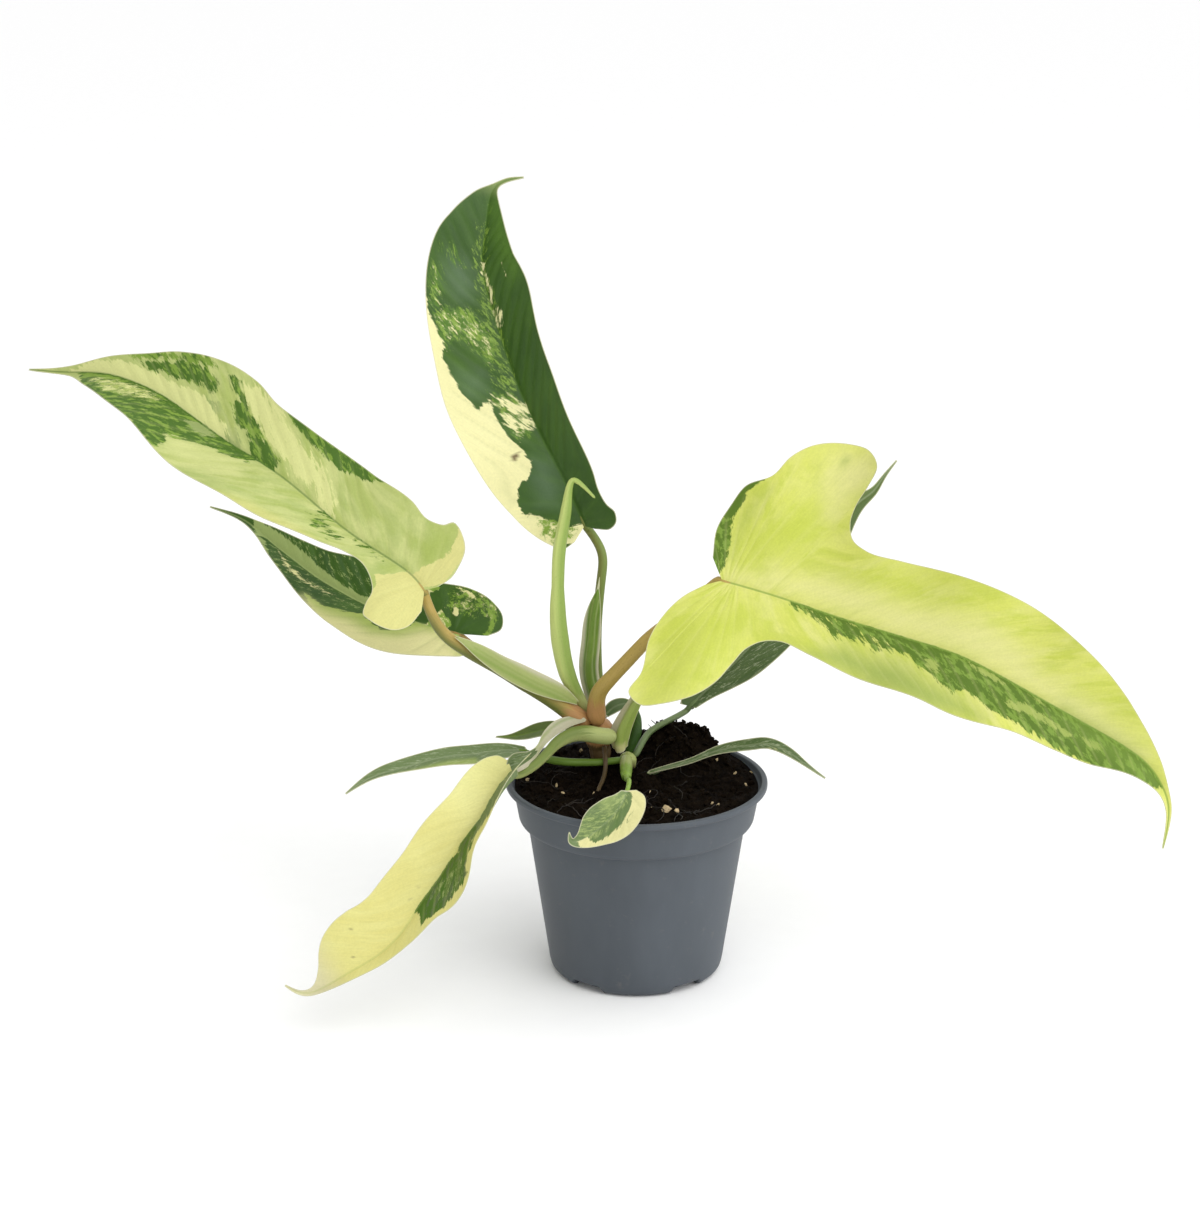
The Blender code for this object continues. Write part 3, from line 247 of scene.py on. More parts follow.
# Stems and stalks: path, and (share of the length, radius) rows
STALKS = {
    "main_stem": ([(-15, 18, 76.5), (-15, 18, 88), (-17, 18, 101), (-18.5, 17.5, 115.5)],
        [(0, 4.6), (0.3, 4.8), (0.6, 5.0), (0.76, 6.2), (0.88, 8.4), (0.96, 7.4), (1, 3.6)]),
    "side_stem": ([(-4, 17, 78.5), (-4, 17, 88), (-4, 17, 98.6)],
        [(0, 3.6), (0.5, 3.8), (0.9, 4.3), (1, 3.0)]),
    "top_leaf_stalk": ([(-16.4, 23.2, 115.6), (-18, 26, 135), (-18, 28, 160), (-16, 30.5, 180),
        (-16.5, 33, 191.5)],
        [(0, 2.0), (0.2, 2.4), (0.8, 2.1), (1, 1.9)]),
    "left_leaf_stalk": ([(-23.5, 13.7, 113.7), (-31.5, 12.8, 120.4), (-42, 10, 128.6),
        (-52, 6, 136), (-63, 1, 145), (-80, -7, 158), (-88, -9, 166), (-93, -9, 176)],
        [(0, 3.6), (0.06, 4.6), (0.16, 4.1), (0.3, 3.4), (0.6, 3.2), (0.8, 2.6), (1, 2.1)]),
    "back_left_leaf_stalk": ([(-26.2, 21.4, 111.1), (-38, 27, 119), (-55, 34, 129),
        (-70, 39, 138)],
        [(0, 2.0), (0.3, 2.2), (1, 1.7)]),
    "right_leaf_stalk": ([(-18.4, 12.9, 115.4), (-18, 9, 128), (-13, 6, 137), (-1, 4, 151),
        (7, 5, 159), (24, 8, 172)],
        [(0, 3.6), (0.06, 4.5), (0.14, 3.9), (0.3, 3.3), (0.6, 3.0), (1, 2.3)]),
    "back_right_leaf_stalk": ([(0.2, 19.3, 97.3), (2.5, 25, 99.5), (6, 33, 102), (13, 41, 104)],
        [(0, 1.6), (0.5, 1.5), (1, 1.4)]),
    "front_left_leaf_stalk": ([(-11.5, 7.4, 109.5), (-17, 4.4, 111), (-24, 3, 112.6),
        (-31, 1, 112), (-37, -3, 109.5), (-41, -9, 107), (-47, -16, 103.5), (-53, -22, 102)],
        [(0, 2.6), (0.06, 3.8), (0.2, 3.9), (0.35, 3.2), (0.5, 2.4), (1, 1.7)]),
    "low_left_leaf_stalk": ([(-7, 11.5, 96.5), (-16.9, 8, 96.7), (-24, 7, 97), (-35, 7, 97.5)],
        [(0, 1.6), (0.6, 1.9), (1, 1.3)]),
    "small_back_left_leaf_stalk": ([(-23.5, 21.5, 103.5), (-27.5, 24, 105)],
        [(0, 1.3), (1, 1.1)]),
    "small_front_leaf_stalk": ([(-4.8, 12.4, 96.2), (-4.8, 2, 96.3), (-4.9, -10, 97.3),
        (-4.6, -32, 103.0), (-4.0, -46, 107.6)],
        [(0, 2.2), (0.06, 2.9), (0.2, 2.8), (0.36, 2.3), (0.38, 1.15), (1, 1.0)]),
    "strap_leaf_stalk": ([(5.1, 9.8, 81.5), (5.1, 9.8, 86)],
        [(0, 1.2), (1, 1.1)]),
    "small_back_leaf_stalk": ([(-16.7, 24.2, 101.2), (-17, 31, 104)],
        [(0, 1.1), (1, 0.9)]),
    "new_leaf_spear": ([(-21.9, 18.6, 116.0), (-28, 16.8, 128), (-32.5, 15, 140),
        (-35.7, 15, 161), (-36, 16, 182), (-35, 18, 198), (-32, 20, 215), (-29, 22, 227),
        (-24, 22, 224), (-19, 21, 219)],
        [(0, 2.2), (0.08, 2.7), (0.2, 3.7), (0.33, 4.0), (0.45, 3.5), (0.52, 2.9), (0.65, 3.0),
         (0.79, 2.5), (0.87, 1.6), (0.92, 1.1), (1, 0.5)]),
    "side_bud": ([(-3.0, 19.5, 99.15), (-0.9, 21.3, 106), (0.3, 22, 112), (0.4, 22, 118)],
        [(0, 1.4), (0.25, 2.8), (0.5, 3.3), (0.8, 2.0), (1, 0.4)]),
    "aerial_root": ([(-14.9, 11.3, 103.8), (-14.3, 6.5, 98.5), (-14.8, 1.5, 93),
        (-16.6, -4.5, 90), (-17.6, -9.5, 89.2), (-18.0, -11, 84)],
        [(0, 1.1), (0.5, 1.0), (1, 0.9)]),
}
# Enlarged views of the photo: the photo's pixel at their top left corner, and their scale
VIEWS = {
    "top": (380, 150, 3.824),
    "left": (30, 320, 4.0205),
    "left lobes": (280, 440, 4.6118),
    "right lobes": (640, 440, 4.3556),
    "right": (860, 540, 4.9),
    "front": (300, 690, 6.0308),
    "front low": (230, 820, 6.0308),
}
# Patches outlined on those views, in the view's own pixels
MARKS = {
    "top_leaf": {
        "cream margin": ("top", [(172, 500), (190, 610), (215, 680), (245, 750), (247, 800),
            (270, 850), (300, 905), (345, 965), (380, 995), (395, 960), (430, 965), (450, 1030),
            (475, 1080), (510, 1115), (545, 1145), (580, 1185), (578, 1250), (540, 1265),
            (525, 1300), (530, 1350), (540, 1385), (600, 1400), (660, 1425), (720, 1440),
            (770, 1440), (760, 1500), (655, 1535), (560, 1470), (470, 1370), (360, 1250),
            (280, 1090), (225, 950), (190, 800), (165, 650)]),
        "lobe specks": ("top", [(590, 1400), (680, 1410), (770, 1440), (720, 1510), (650, 1520),
            (600, 1460)]),
        "speck band": ("top", [(200, 620), (240, 590), (330, 595), (400, 650), (450, 740),
            (455, 790), (420, 830), (380, 790), (320, 740), (290, 720), (270, 760), (235, 740),
            (205, 670)]),
        "speck mid": ("top", [(400, 905), (450, 935), (505, 930), (560, 985), (578, 1040),
            (575, 1090), (540, 1115), (500, 1090), (455, 1010)]),
        "speck edge": ("top", [(190, 430), (240, 440), (240, 540), (230, 610), (190, 610)]),
        "speck top": ("top", [(225, 340), (290, 360), (335, 450), (320, 470), (260, 420),
            (230, 400)]),
        "streak 1": ("top", [(385, 415), (400, 430), (435, 530), (440, 600), (420, 590),
            (400, 520)]),
        "streak 2": ("top", [(452, 590), (470, 620), (470, 680), (455, 670), (440, 620)]),
        "streak 3": ("top", [(460, 420), (475, 440), (492, 500), (475, 480)]),
        "speck tip": ("top", [(400, 190), (440, 200), (440, 250), (410, 260)]),
        "bright": ("top", [(440, 160), (465, 200), (480, 290), (520, 390), (545, 470), (510, 500),
            (470, 420), (440, 330), (425, 230)]),
        # Painted sheen: outlines of grey green patches that stand in for gloss reflections on the
        # top leaf
        "bloom 1": ("top", [(255, 410), (320, 430), (355, 500), (350, 570), (290, 560),
            (250, 480)]),
        "bloom 2": ("top", [(290, 850), (390, 860), (400, 930), (340, 940)]),
        "bloom 3": ("top", [(590, 1180), (640, 1200), (690, 1290), (690, 1370), (620, 1350),
            (590, 1260)]),
        "brown": ("top", [(505, 1165), (530, 1155), (520, 1190), (508, 1190)]),
    },
    "left_leaf": {
        "cream stripe": ("left", [(40, 180), (250, 160), (400, 168), (520, 215), (600, 258),
            (680, 285), (720, 330), (780, 420), (850, 520), (930, 575), (960, 600), (850, 525),
            (740, 450), (620, 360), (500, 275), (380, 225), (250, 212), (110, 208)]),
        "cream upper": ("left", [(850, 235), (930, 270), (1010, 350), (1060, 440), (1130, 530),
            (1210, 620), (1240, 720), (1230, 790), (1150, 690), (1050, 620), (1000, 560),
            (940, 450), (870, 340)]),
        "cream lower": ("left", [(540, 455), (680, 505), (760, 540), (870, 580), (830, 620),
            (720, 610), (600, 560), (545, 520)]),
        "yellow edge": ("left", [(560, 600), (720, 680), (900, 735), (1010, 800), (1150, 880),
            (1100, 880), (900, 790), (700, 700), (560, 620)]),
        "lobe low": ("left lobes", [(440, 620), (530, 618), (600, 620), (640, 650), (670, 720),
            (670, 800), (590, 880), (500, 890), (410, 865), (370, 800), (400, 740), (420, 700),
            (440, 660)]),
        "lobe up edge": ("left lobes", [(600, 615), (660, 590), (720, 570), (800, 500),
            (820, 440), (820, 390), (855, 420), (865, 480), (835, 570), (760, 665), (690, 670),
            (640, 650)]),
        "lobe up sage": ("left lobes", [(640, 560), (660, 480), (720, 420), (800, 380),
            (820, 430), (800, 500), (720, 560), (660, 590)]),
        "green 1": ("left", [(380, 130), (560, 118), (720, 135), (780, 190), (720, 195),
            (650, 165), (560, 155), (430, 165)]),
        "green 2": ("left", [(440, 170), (540, 160), (640, 165), (720, 200), (765, 245),
            (742, 298), (690, 275), (620, 245), (540, 218), (480, 200)]),
        "green 3": ("left", [(795, 200), (850, 250), (880, 350), (920, 420), (960, 490),
            (1010, 575), (985, 600), (935, 560), (880, 480), (830, 400), (800, 330), (830, 320),
            (810, 260)]),
        "green 4": ("left", [(150, 208), (300, 213), (420, 240), (540, 290), (640, 370),
            (740, 450), (860, 522), (940, 580), (880, 575), (760, 530), (680, 490), (600, 480),
            (545, 455), (545, 500), (480, 508), (400, 400), (320, 345), (220, 290)]),
        "green 4 specks": ("left", [(210, 225), (330, 230), (460, 270), (540, 320), (480, 330),
            (370, 310), (280, 290)]),
        "green 4 pale": ("left", [(610, 390), (700, 410), (760, 470), (700, 470), (630, 430)]),
        "green 5": ("left", [(1030, 365), (1150, 425), (1300, 540), (1440, 660), (1340, 645),
            (1250, 605), (1200, 570), (1130, 495), (1060, 430)]),
        "green 6": ("left", [(1100, 765), (1200, 770), (1235, 850), (1280, 900), (1190, 880),
            (1130, 840)]),
        "green 7": ("left", [(1250, 835), (1330, 870), (1460, 975), (1420, 975), (1330, 930),
            (1270, 870)]),
        "sage mid": ("left", [(700, 300), (760, 340), (830, 440), (900, 555), (850, 520),
            (780, 430), (720, 345)]),
    },
    "back_left_leaf": {
        "cream half": ("left lobes", [(100, 690), (200, 760), (300, 790), (380, 800), (450, 870),
            (560, 870), (660, 830), (740, 850), (800, 900), (840, 950), (860, 1000), (700, 1020),
            (500, 990), (300, 930), (180, 820)]),
        "sage stripe": ("left", [(900, 800), (1000, 850), (1100, 930), (1200, 1030), (1300, 1090),
            (1380, 1130), (1340, 1160), (1240, 1090), (1140, 1000), (1000, 920), (920, 850)]),
        "pale streaks": ("left", [(980, 900), (1060, 1000), (1150, 1060), (1250, 1120),
            (1330, 1160), (1240, 1130), (1120, 1070), (1030, 1010)]),
        "tip": ("left", [(720, 740), (860, 780), (900, 830), (960, 950), (900, 870), (840, 800)]),
        "lobe a": ("left lobes", [(640, 660), (700, 670), (760, 680), (730, 690), (690, 700),
            (690, 740), (660, 750)]),
        "lobe b": ("left lobes", [(790, 670), (830, 680), (880, 700), (920, 740), (880, 730),
            (840, 700)]),
        "lobe c": ("left lobes", [(795, 770), (830, 775), (820, 810), (800, 800)]),
        "lobe d": ("left lobes", [(640, 830), (740, 780), (790, 850), (740, 860), (680, 850)]),
        "lobe e": ("left lobes", [(930, 740), (990, 800), (990, 870), (960, 930), (940, 900),
            (960, 820)]),
    },
    "right_leaf": {
        "lime lobe": ("right lobes", [(400, 430), (560, 330), (800, 250), (850, 400), (700, 500),
            (500, 560), (420, 560)]),
        "lime low": ("right lobes", [(120, 760), (250, 720), (520, 740), (420, 880), (330, 1000),
            (150, 1140), (20, 1130), (60, 950)]),
        "lime mid": ("right", [(0, 60), (400, 140), (700, 260), (500, 330), (200, 280),
            (0, 250)]),
        "lime tip": ("right", [(1050, 740), (1250, 750), (1350, 900), (1200, 850)]),
        "cream rib": ("right lobes", [(420, 600), (640, 660), (900, 760), (1220, 850),
            (1220, 740), (850, 600), (640, 600)]),
        "cream lobe": ("right lobes", [(850, 80), (1020, 60), (1030, 160), (960, 230), (850, 300),
            (800, 200)]),
        "cream rib 2": ("right", [(0, 290), (300, 330), (700, 450), (900, 650), (1200, 850),
            (1400, 1060), (1250, 1000), (900, 790), (500, 570), (0, 395)]),
        "streak lobe": ("right lobes", [(400, 440), (440, 330), (520, 230), (575, 215),
            (500, 330), (440, 400), (400, 500)]),
        "lobe dot": ("right lobes", [(880, 70), (925, 80), (900, 130), (870, 120)]),
        "band a": ("right lobes", [(610, 688), (680, 700), (760, 740), (900, 780), (1050, 830),
            (1220, 880), (1220, 1000), (1180, 960), (1120, 920), (1040, 935), (950, 880),
            (900, 880), (830, 870), (800, 820), (740, 790), (680, 750), (640, 720)]),
        "band b": ("right", [(0, 405), (150, 450), (330, 510), (520, 570), (700, 670), (900, 770),
            (1100, 880), (1350, 1040), (1490, 1230), (1440, 1220), (1300, 1160), (1150, 1110),
            (1000, 1035), (850, 960), (740, 890), (640, 830), (600, 790), (530, 745), (450, 750),
            (400, 720), (350, 660), (290, 630), (240, 560), (180, 545), (100, 510), (0, 460)]),
        "light 1": ("right", [(520, 590), (640, 640), (720, 700), (700, 720), (620, 670),
            (540, 620)]),
        "light 2": ("right", [(310, 560), (380, 590), (400, 650), (380, 680), (320, 620)]),
        "light 3": ("right", [(700, 780), (800, 800), (920, 870), (1050, 960), (1000, 965),
            (900, 900), (800, 850), (730, 830)]),
        "light 4": ("right", [(1050, 940), (1180, 1000), (1190, 1040), (1120, 1020)]),
        "light 5": ("right", [(820, 750), (880, 780), (910, 820), (870, 800)]),
        "olive": ("right", [(1000, 820), (1350, 1040), (1470, 1210), (1300, 1130), (1120, 1010),
            (960, 860)]),
        "pale low a": ("right lobes", [(740, 930), (900, 900), (1000, 950), (1220, 1020),
            (1220, 1140), (1000, 1060)]),
        "pale low b": ("right", [(0, 560), (200, 600), (350, 700), (500, 780), (600, 880),
            (300, 820), (0, 695)]),
    },
    "front_left_leaf": {
        "dark": ("front", [(1090, 790), (1050, 880), (1010, 960), (930, 1050), (850, 1130),
            (780, 1220), (740, 1270), (900, 1270), (940, 1220), (990, 1150), (1020, 1090),
            (1000, 1060), (1010, 1000), (1030, 960), (1060, 870), (1080, 820)]),
        "dark low": ("front low", [(1480, 10), (1440, 100), (1380, 190), (1300, 300), (1220, 400),
            (1150, 520), (1110, 580), (1145, 575), (1155, 632), (1210, 590), (1300, 520),
            (1340, 450), (1390, 400), (1435, 310), (1410, 290), (1440, 200), (1455, 130),
            (1490, 40)]),
    },
}


def box(a0, a1, b0, b1):
    """Rectangle on the flat leaf, from a0 to a1 along it and from b0 to b1 across it."""
    return [(a0, b0), (a1, b0), (a1, b1), (a0, b1)]


# Colour coats of each leaf, lowest first: hue, kind of edge, cover, how far the edge
# reaches in and out, and its outline: a mark's name, a box or points on the flat leaf
COATS = {
    "top_leaf": (
        ("bright/green", "soft", 0.9, 7, "bright"),
        # Painted sheen: three soft grey green coats laid where gloss reflections lie on the top
        # leaf
        ("bloom", "soft", 0.32, 7, "bloom 1"),
        ("bloom", "soft", 0.28, 7, "bloom 2"),
        ("bloom", "soft", 0.3, 7, "bloom 3"),
        ("bright/fern", "flecks", 0.85, 7, "speck band"),
        ("bright/fern", "flecks", 0.85, 6, "speck edge"),
        ("bright/fern", "flecks", 0.6, 4, "speck tip"),
        ("bright/fern", "flecks", 0.72, 8, "speck top"),
        ("bright/fern", "flecks", 0.85, 5, "speck mid"),
        ("fern", "flecks", 0.5, 5, [(60, 4), (75, 12), (95, 10), (115, 6), (150, 5), (150, -4),
            (110, -5), (70, -2)]),
        ("butter", "flecks", 0.43, 6, "speck band"),
        ("butter", "flecks", 0.43, 6, "speck edge"),
        ("butter", "flecks", 0.32, 6, "speck top"),
        ("butter", "solid", 1, 2.2, "cream margin"),
        ("butter", "solid", 0.6, 5, "speck mid"),
        ("butter", "solid", 0.62, 1.6, "streak 1"),
        ("butter", "solid", 0.5, 1.2, "streak 2"),
        ("butter", "solid", 0.62, 1, "streak 3"),
        ("fern", "flecks", 0.6, 3, "lobe specks"),
        ("brown", "soft", 0.9, 0.5, "brown"),
        ("sage", "soft", 0.6, 5, box(164, 186, -6, 6)),
    ),
    "left_leaf": (
        ("sage", "solid", 1, 3, "sage mid"),
        ("cream", "cloud", 0.4, 12, box(-30, 150, -60, 60)),
        ("moss", "cloud", 0.6, 12, box(0, 150, -60, 60)),
        ("cream", "solid", 1, 3, "cream stripe"),
        ("cream", "solid", 0.9, 6, "cream upper"),
        ("cream", "soft", 0.6, 5, "cream lower"),
        ("moss", "soft", 1, 6, "lobe up sage"),
        ("wheat", "solid", 1, 1.2, "lobe up edge"),
        ("fern/green", "solid", 0.95, 5, "green 1"),
        ("green/fern", "solid", 0.95, 3.5, "green 2"),
        ("green/fern", "solid", 0.9, 3, "green 3"),
        ("green/fern", "solid", 0.98, 3, "green 4"),
        ("green/fern", "solid", 0.98, 2.4, "green 5"),
        ("green/fern", "solid", 0.6, 3.5, "green 6"),
        ("green/fern", "solid", 0.45, 3, "green 7"),
        ("sage", "flecks", 0.85, 3, "green 4 pale"),
        ("willow", "flecks", 0.25, 2, "green 4"),
        ("cream", "flecks", 0.6, 4, "green 4 specks"),
        ("moss", "flecks", 0.5, 4, "green 4 specks"),
        ("straw", "soft", 0.5, 3, "yellow edge"),
        ("wheat", "solid", 1, 1.2, "lobe low"),
    ),
    "back_left_leaf": (
        ("sage", "solid", 1, 2, "sage stripe"),
        ("sage", "solid", 0.9, 4, "tip"),
        ("fern", "flecks", 0.85, 3, "lobe e"),
        ("fern", "flecks", 0.45, 4, box(-30, 30, 2, 30)),
        ("sage", "flecks", 0.36, 3, box(20, 120, -20, 20)),
        ("moss", "solid", 1, 2.5, "cream half"),
        ("ivory", "soft", 1, 6, [(72, 16), (60, 18), (48, 15), (36, 17), (25, 13), (16, 4),
            (9, 3), (2, 7), (-4, 12), (-8, 18), (4, 30), (23, 34), (42, 34), (62, 28)]),
        ("ivory", "flecks", 0.6, 2.5, "pale streaks"),
        ("ivory", "flecks", 0.4, 4, box(-18, 10, -26, -9)),
        ("fern", "flecks", 0.5, 4, box(-18, 12, -26, -8)),
        ("fern/ivory", "solid", 1, 1.4, "lobe a"),
        ("fern/ivory", "solid", 1, 1.4, "lobe b"),
        ("ivory", "solid", 1, 1.2, "lobe c"),
        ("fern/ivory", "solid", 1, 1.4, "lobe d"),
    ),
    "right_leaf": (
        ("lime", "cloud", 0.7, 10, box(-30, 200, -60, 60)),
        ("lime", "soft", 0.8, 11, "lime lobe"),
        ("lime", "soft", 0.8, 11, "lime low"),
        ("lime", "soft", 0.45, 11, "lime mid"),
        ("lime", "soft", 0.5, 8, "lime tip"),
        ("pale", "soft", 0.8, 9, "cream rib"),
        ("pale", "soft", 0.8, 9, "cream lobe"),
        ("pale", "soft", 0.8, 8, "cream rib 2"),
        ("moss", "soft", 1, 9, "pale low a"),
        ("moss", "soft", 1, 9, "pale low b"),
        ("moss", "soft", 0.45, 6, box(40, 130, -60, -22)),
        ("moss", "soft", 0.45, 6, "streak lobe"),
        ("moss", "soft", 0.5, 1, "lobe dot"),
        ("band", "solid", 1, 2, [(-10, 28), (-9, 40), (-5, 47), (4, 53), (6, 49), (0, 43),
            (-1, 34), (-3, 27)]),
        ("band/fern", "flecks", 0.9, 2, [(-10, 28), (-3, 28), (-1, 18), (0, 8), (-2, 1), (-8, 3),
            (-9, 14)]),
        ("band/fern", "solid", 0.75, 4.5, "band a"),
        ("band/fern", "solid", 1, 3, "band b"),
        ("moss", "flecks", 0.85, 3, "light 1"),
        ("moss", "flecks", 0.8, 2.5, "light 2"),
        ("moss", "flecks", 0.85, 2.5, "light 3"),
        ("moss", "flecks", 0.8, 2.5, "light 4"),
        ("moss", "flecks", 0.8, 2.5, "light 5"),
        ("fern", "soft", 0.5, 8, "olive"),
    ),
    "front_left_leaf": (
        ("pale", "soft", 0.9, 16, box(-10, 34, -30, -4)),
        ("rose", "soft", 0.7, 10, box(128, 170, -30, 10)),
        ("grey", "solid", 0.85, 3, [(-6, 0.6), (-6, 9), (4, 13), (20, 11), (34, 8), (46, 9),
            (36, 0.6)]),
        ("green/slate", "solid", 1, 2.4, "dark"),
        ("green/slate", "solid", 1, 2.4, "dark low"),
        ("sage", "flecks", 0.45, 3, "dark"),
        ("brown", "soft", 0.9, 0.6, box(109.6, 110.4, -16.4, -15.6)),
        ("brown", "soft", 0.9, 0.6, box(115.6, 116.4, -5.4, -4.6)),
        ("brown", "soft", 0.6, 0.5, box(71.7, 72.3, -5.3, -4.7)),
        ("brown", "soft", 0.6, 0.5, box(77.7, 78.3, -5.3, -4.7)),
    ),
    "small_front_leaf": (
        ("sage", "flecks", 0.5, 3, box(0, 34, -10, 4)),
        ("sage", "soft", 0.7, 4, box(1, 13, -10, -3)),
        ("ivory", "solid", 1, 1.8, [(-3, 1), (2, 2.5), (8, 4.5), (14, 5), (20, 5), (26, 4),
            (31, 1.5), (36, 1), (30, 6), (20, 12), (10, 13), (-3, 12)]),
        ("slate", "flecks", 0.45, 1.5, [(6, 5), (14, 5.5), (22, 5), (28, 3), (24, 6), (14, 8),
            (8, 7)]),
    ),
    "back_right_leaf": (
        ("silver", "flecks", 0.4, 5, box(-4, 90, -16, 2)),
        ("olive", "soft", 0.5, 8, box(125, 165, -2, 8)),
    ),
    "low_left_leaf": (
        ("silver", "flecks", 0.38, 3, box(0, 92, -9, 9)),
        ("moss", "soft", 0.6, 2, box(30, 78, 3.6, 9)),
    ),
    "strap_leaf": (
        ("silver", "flecks", 0.4, 2, box(0, 90, -4, 4)),
        ("ivory", "solid", 0.4, 2, box(58, 70, -4, 0)),
    ),
    "small_back_left_leaf": (
        ("fern", "flecks", 0.3, 2, box(0, 40, -5, 5)),
    ),
    "tall_sheath": (
        ("rose", "soft", 0.9, 1, box(-5, 56, -9, -2.8)),
        ("rose", "soft", 0.8, 0.8, box(-5, 60, 3.6, 9)),
        ("leek", "soft", 0.5, 0.6, box(-5, 56, -1.4, -0.6)),
        ("leek", "soft", 0.5, 0.6, box(-5, 56, 0.8, 1.5)),
    ),
    "left_leaf_sheath": (
        ("rose", "soft", 0.9, 1.6, box(-2, 60, -9, -2.8)),
        ("fern", "soft", 0.6, 1.2, box(0, 70, 1.8, 3.8)),
        ("fern", "soft", 0.4, 0.8, box(0, 60, 0.2, 1.2)),
    ),
    "side_sheath": (
        ("rose", "soft", 0.9, 1.8, box(-2, 50, -9, -1.6)),
        ("ivory", "soft", 0.9, 1.6, box(-2, 4, -4, 3)),
    ),
    "front_left_leaf_sheath": (
        ("fern", "soft", 0.5, 0.8, box(0, 30, -2.4, -1.2)),
        ("grey/slate", "solid", 1, 2.5, box(31, 62, -9, 0.9)),
        ("silver", "flecks", 0.4, 2, box(34, 58, -6, 0)),
    ),
}

# Ground colours of each blade under its patches, the colour and strength of its midrib
# line, how far its side veins lean to the tip, the share of the vein depth, and how much
# light passes through it
BLADES = {
    "top_leaf": ("deep", "green", "green", 0.3, 0.9, 0.5, 0.06),
    "left_leaf": ("willow", "cream", "green", 0.6, 0.9, 0.5, 0.15),
    "back_left_leaf": ("deep", "green", "sage", 0.5, 0.9, 0.6, 0.06),
    "right_leaf": ("chartreuse", "pale", "fern", 0.7, 0.8, 0.3, 0.18),
    "back_right_leaf": ("slate", "deep", "silver", 0.3, 1.6, 0.8, 0.06),
    "front_left_leaf": ("straw", "pale", "moss", 0.25, 0.9, 0.25, 0.16),
    "low_left_leaf": ("grey", "slate", "silver", 0.3, 2.6, 0.8, 0.06),
    "small_back_left_leaf": ("olive", "deep", "fern", 0.3, 1.5, 0.8, 0.06),
    "small_front_leaf": ("grey", "green", "silver", 0.15, 0.9, 0.5, 0.08),
    "strap_leaf": ("slate", "deep", "silver", 0.3, 2.6, 0.8, 0.06),
    "small_back_leaf": ("slate", "deep", "silver", 0.2, 1.5, 0.8, 0.06),
    "left_leaf_sheath": ("leek", "willow", "leek", 0.0, 3.0, 0.0, 0.25),
    "front_left_leaf_sheath": ("rose", "leek", "leek", 0.0, 3.0, 0.0, 0.25),
    "tall_sheath": ("grass", "fern", "leek", 0.0, 3.0, 0.0, 0.2),
    "side_sheath": ("shoot", "leek", "leek", 0.0, 3.0, 0.0, 0.25),
}
# Colours of each stalk: low or left side, high or right side, which of the two, and foot
TUBES = {
    "top_leaf_stalk": ("stalk", "olive", "right", "stalk"),
    "left_leaf_stalk": ("stalk", "tan", "upper", "peach"),
    "back_left_leaf_stalk": ("stalk", "russet", "upper", "peach"),
    "right_leaf_stalk": ("tan", "tan", "upper", "peach"),
    "back_right_leaf_stalk": ("slate", "grey", "upper", "grey"),
    "front_left_leaf_stalk": ("leek", "olive", "upper", "leek"),
    "low_left_leaf_stalk": ("grass", "grass", "upper", "grass"),
    "small_back_left_leaf_stalk": ("olive", "fern", "upper", "olive"),
    "small_front_leaf_stalk": ("grass", "fern", "upper", "leek"),
    "strap_leaf_stalk": ("slate", "grey", "upper", "slate"),
    "small_back_leaf_stalk": ("slate", "grey", "upper", "slate"),
    "side_bud": ("deep", "green", "upper", "deep"),
    # The main stem's root brown foot is painted shade under the crown
    "main_stem": ("peach", "peach", "upper", "root"),
    "side_stem": ("leek", "willow", "upper", "root"),
    "new_leaf_spear": ("spring", "leaf", "right", "leek"),
    "aerial_root": ("root", "root", "upper", "root"),
}
# Pale grit on the soil: x, y and size
GRIT = [(12.7, -35.3, 2.6), (17.5, -37.2, 1.5), (6, -9, 1.0), (6.5, -29.3, 0.9),
        (33.6, -24.4, 1.1), (36.1, -28.9, 1.0), (37.7, 20.2, 1.0), (45.6, 8.6, 1.2),
        (50.2, -0.3, 1.0), (53.4, 14.5, 1.0), (-50.5, 5.5, 1.2), (-36.5, -1.3, 1.4),
        (-33.6, -12, 1.2), (-19.5, -13.6, 1.1), (-26, 38, 1.2), (8, 50, 1.3), (-44, 24, 1.0)]
# Hills on the soil: x, y, height and spread
HEAP = (24.0, 45.0, 13.5, 17.0)
MOUND = (-12.0, 19.0, 8.0, 7.5)
BANK = (-44.0, 16.0, 1.9, 12.0)
# Curled sprigs on the soil's crest: x and y
CURLS = ((1.5, 45.0), (6.0, 46.0), (8.5, 45.0))
# Tubes whose path starts as it is, and how far the others go on into a stem
AS_DRAWN = ("main_stem", "side_stem", "aerial_root", "strap_leaf_stalk")
SUNK_IN_STEM = 2.5


def smooth(x, low=0.0, high=1.0):
    """Smooth step: 0 below low, 1 above high, and 3k^2 - 2k^3 between them."""
    k = np.clip((x - low) / (high - low), 0.0, 1.0)
    return k * k * (3.0 - 2.0 * k)


def unit(v):
    """Vectors scaled to length 1."""
    return v / np.linalg.norm(v, axis=-1, keepdims=True)


def lumps(x, y, size, seed):
    """Random height from 0 to 1: random values on a square lattice of that size, blended
    with smooth steps between the four corners round each point."""
    table = np.random.default_rng(seed).random((97, 97))
    u, v = x / size, y / size
    i, j = np.floor(u).astype(int), np.floor(v).astype(int)
    fu, fv = smooth(u - i), smooth(v - j)
    i, j = i % 96, j % 96
    low = table[i, j] * (1 - fu) + table[i + 1, j] * fu
    high = table[i, j + 1] * (1 - fu) + table[i + 1, j + 1] * fu
    return low * (1 - fv) + high * fv


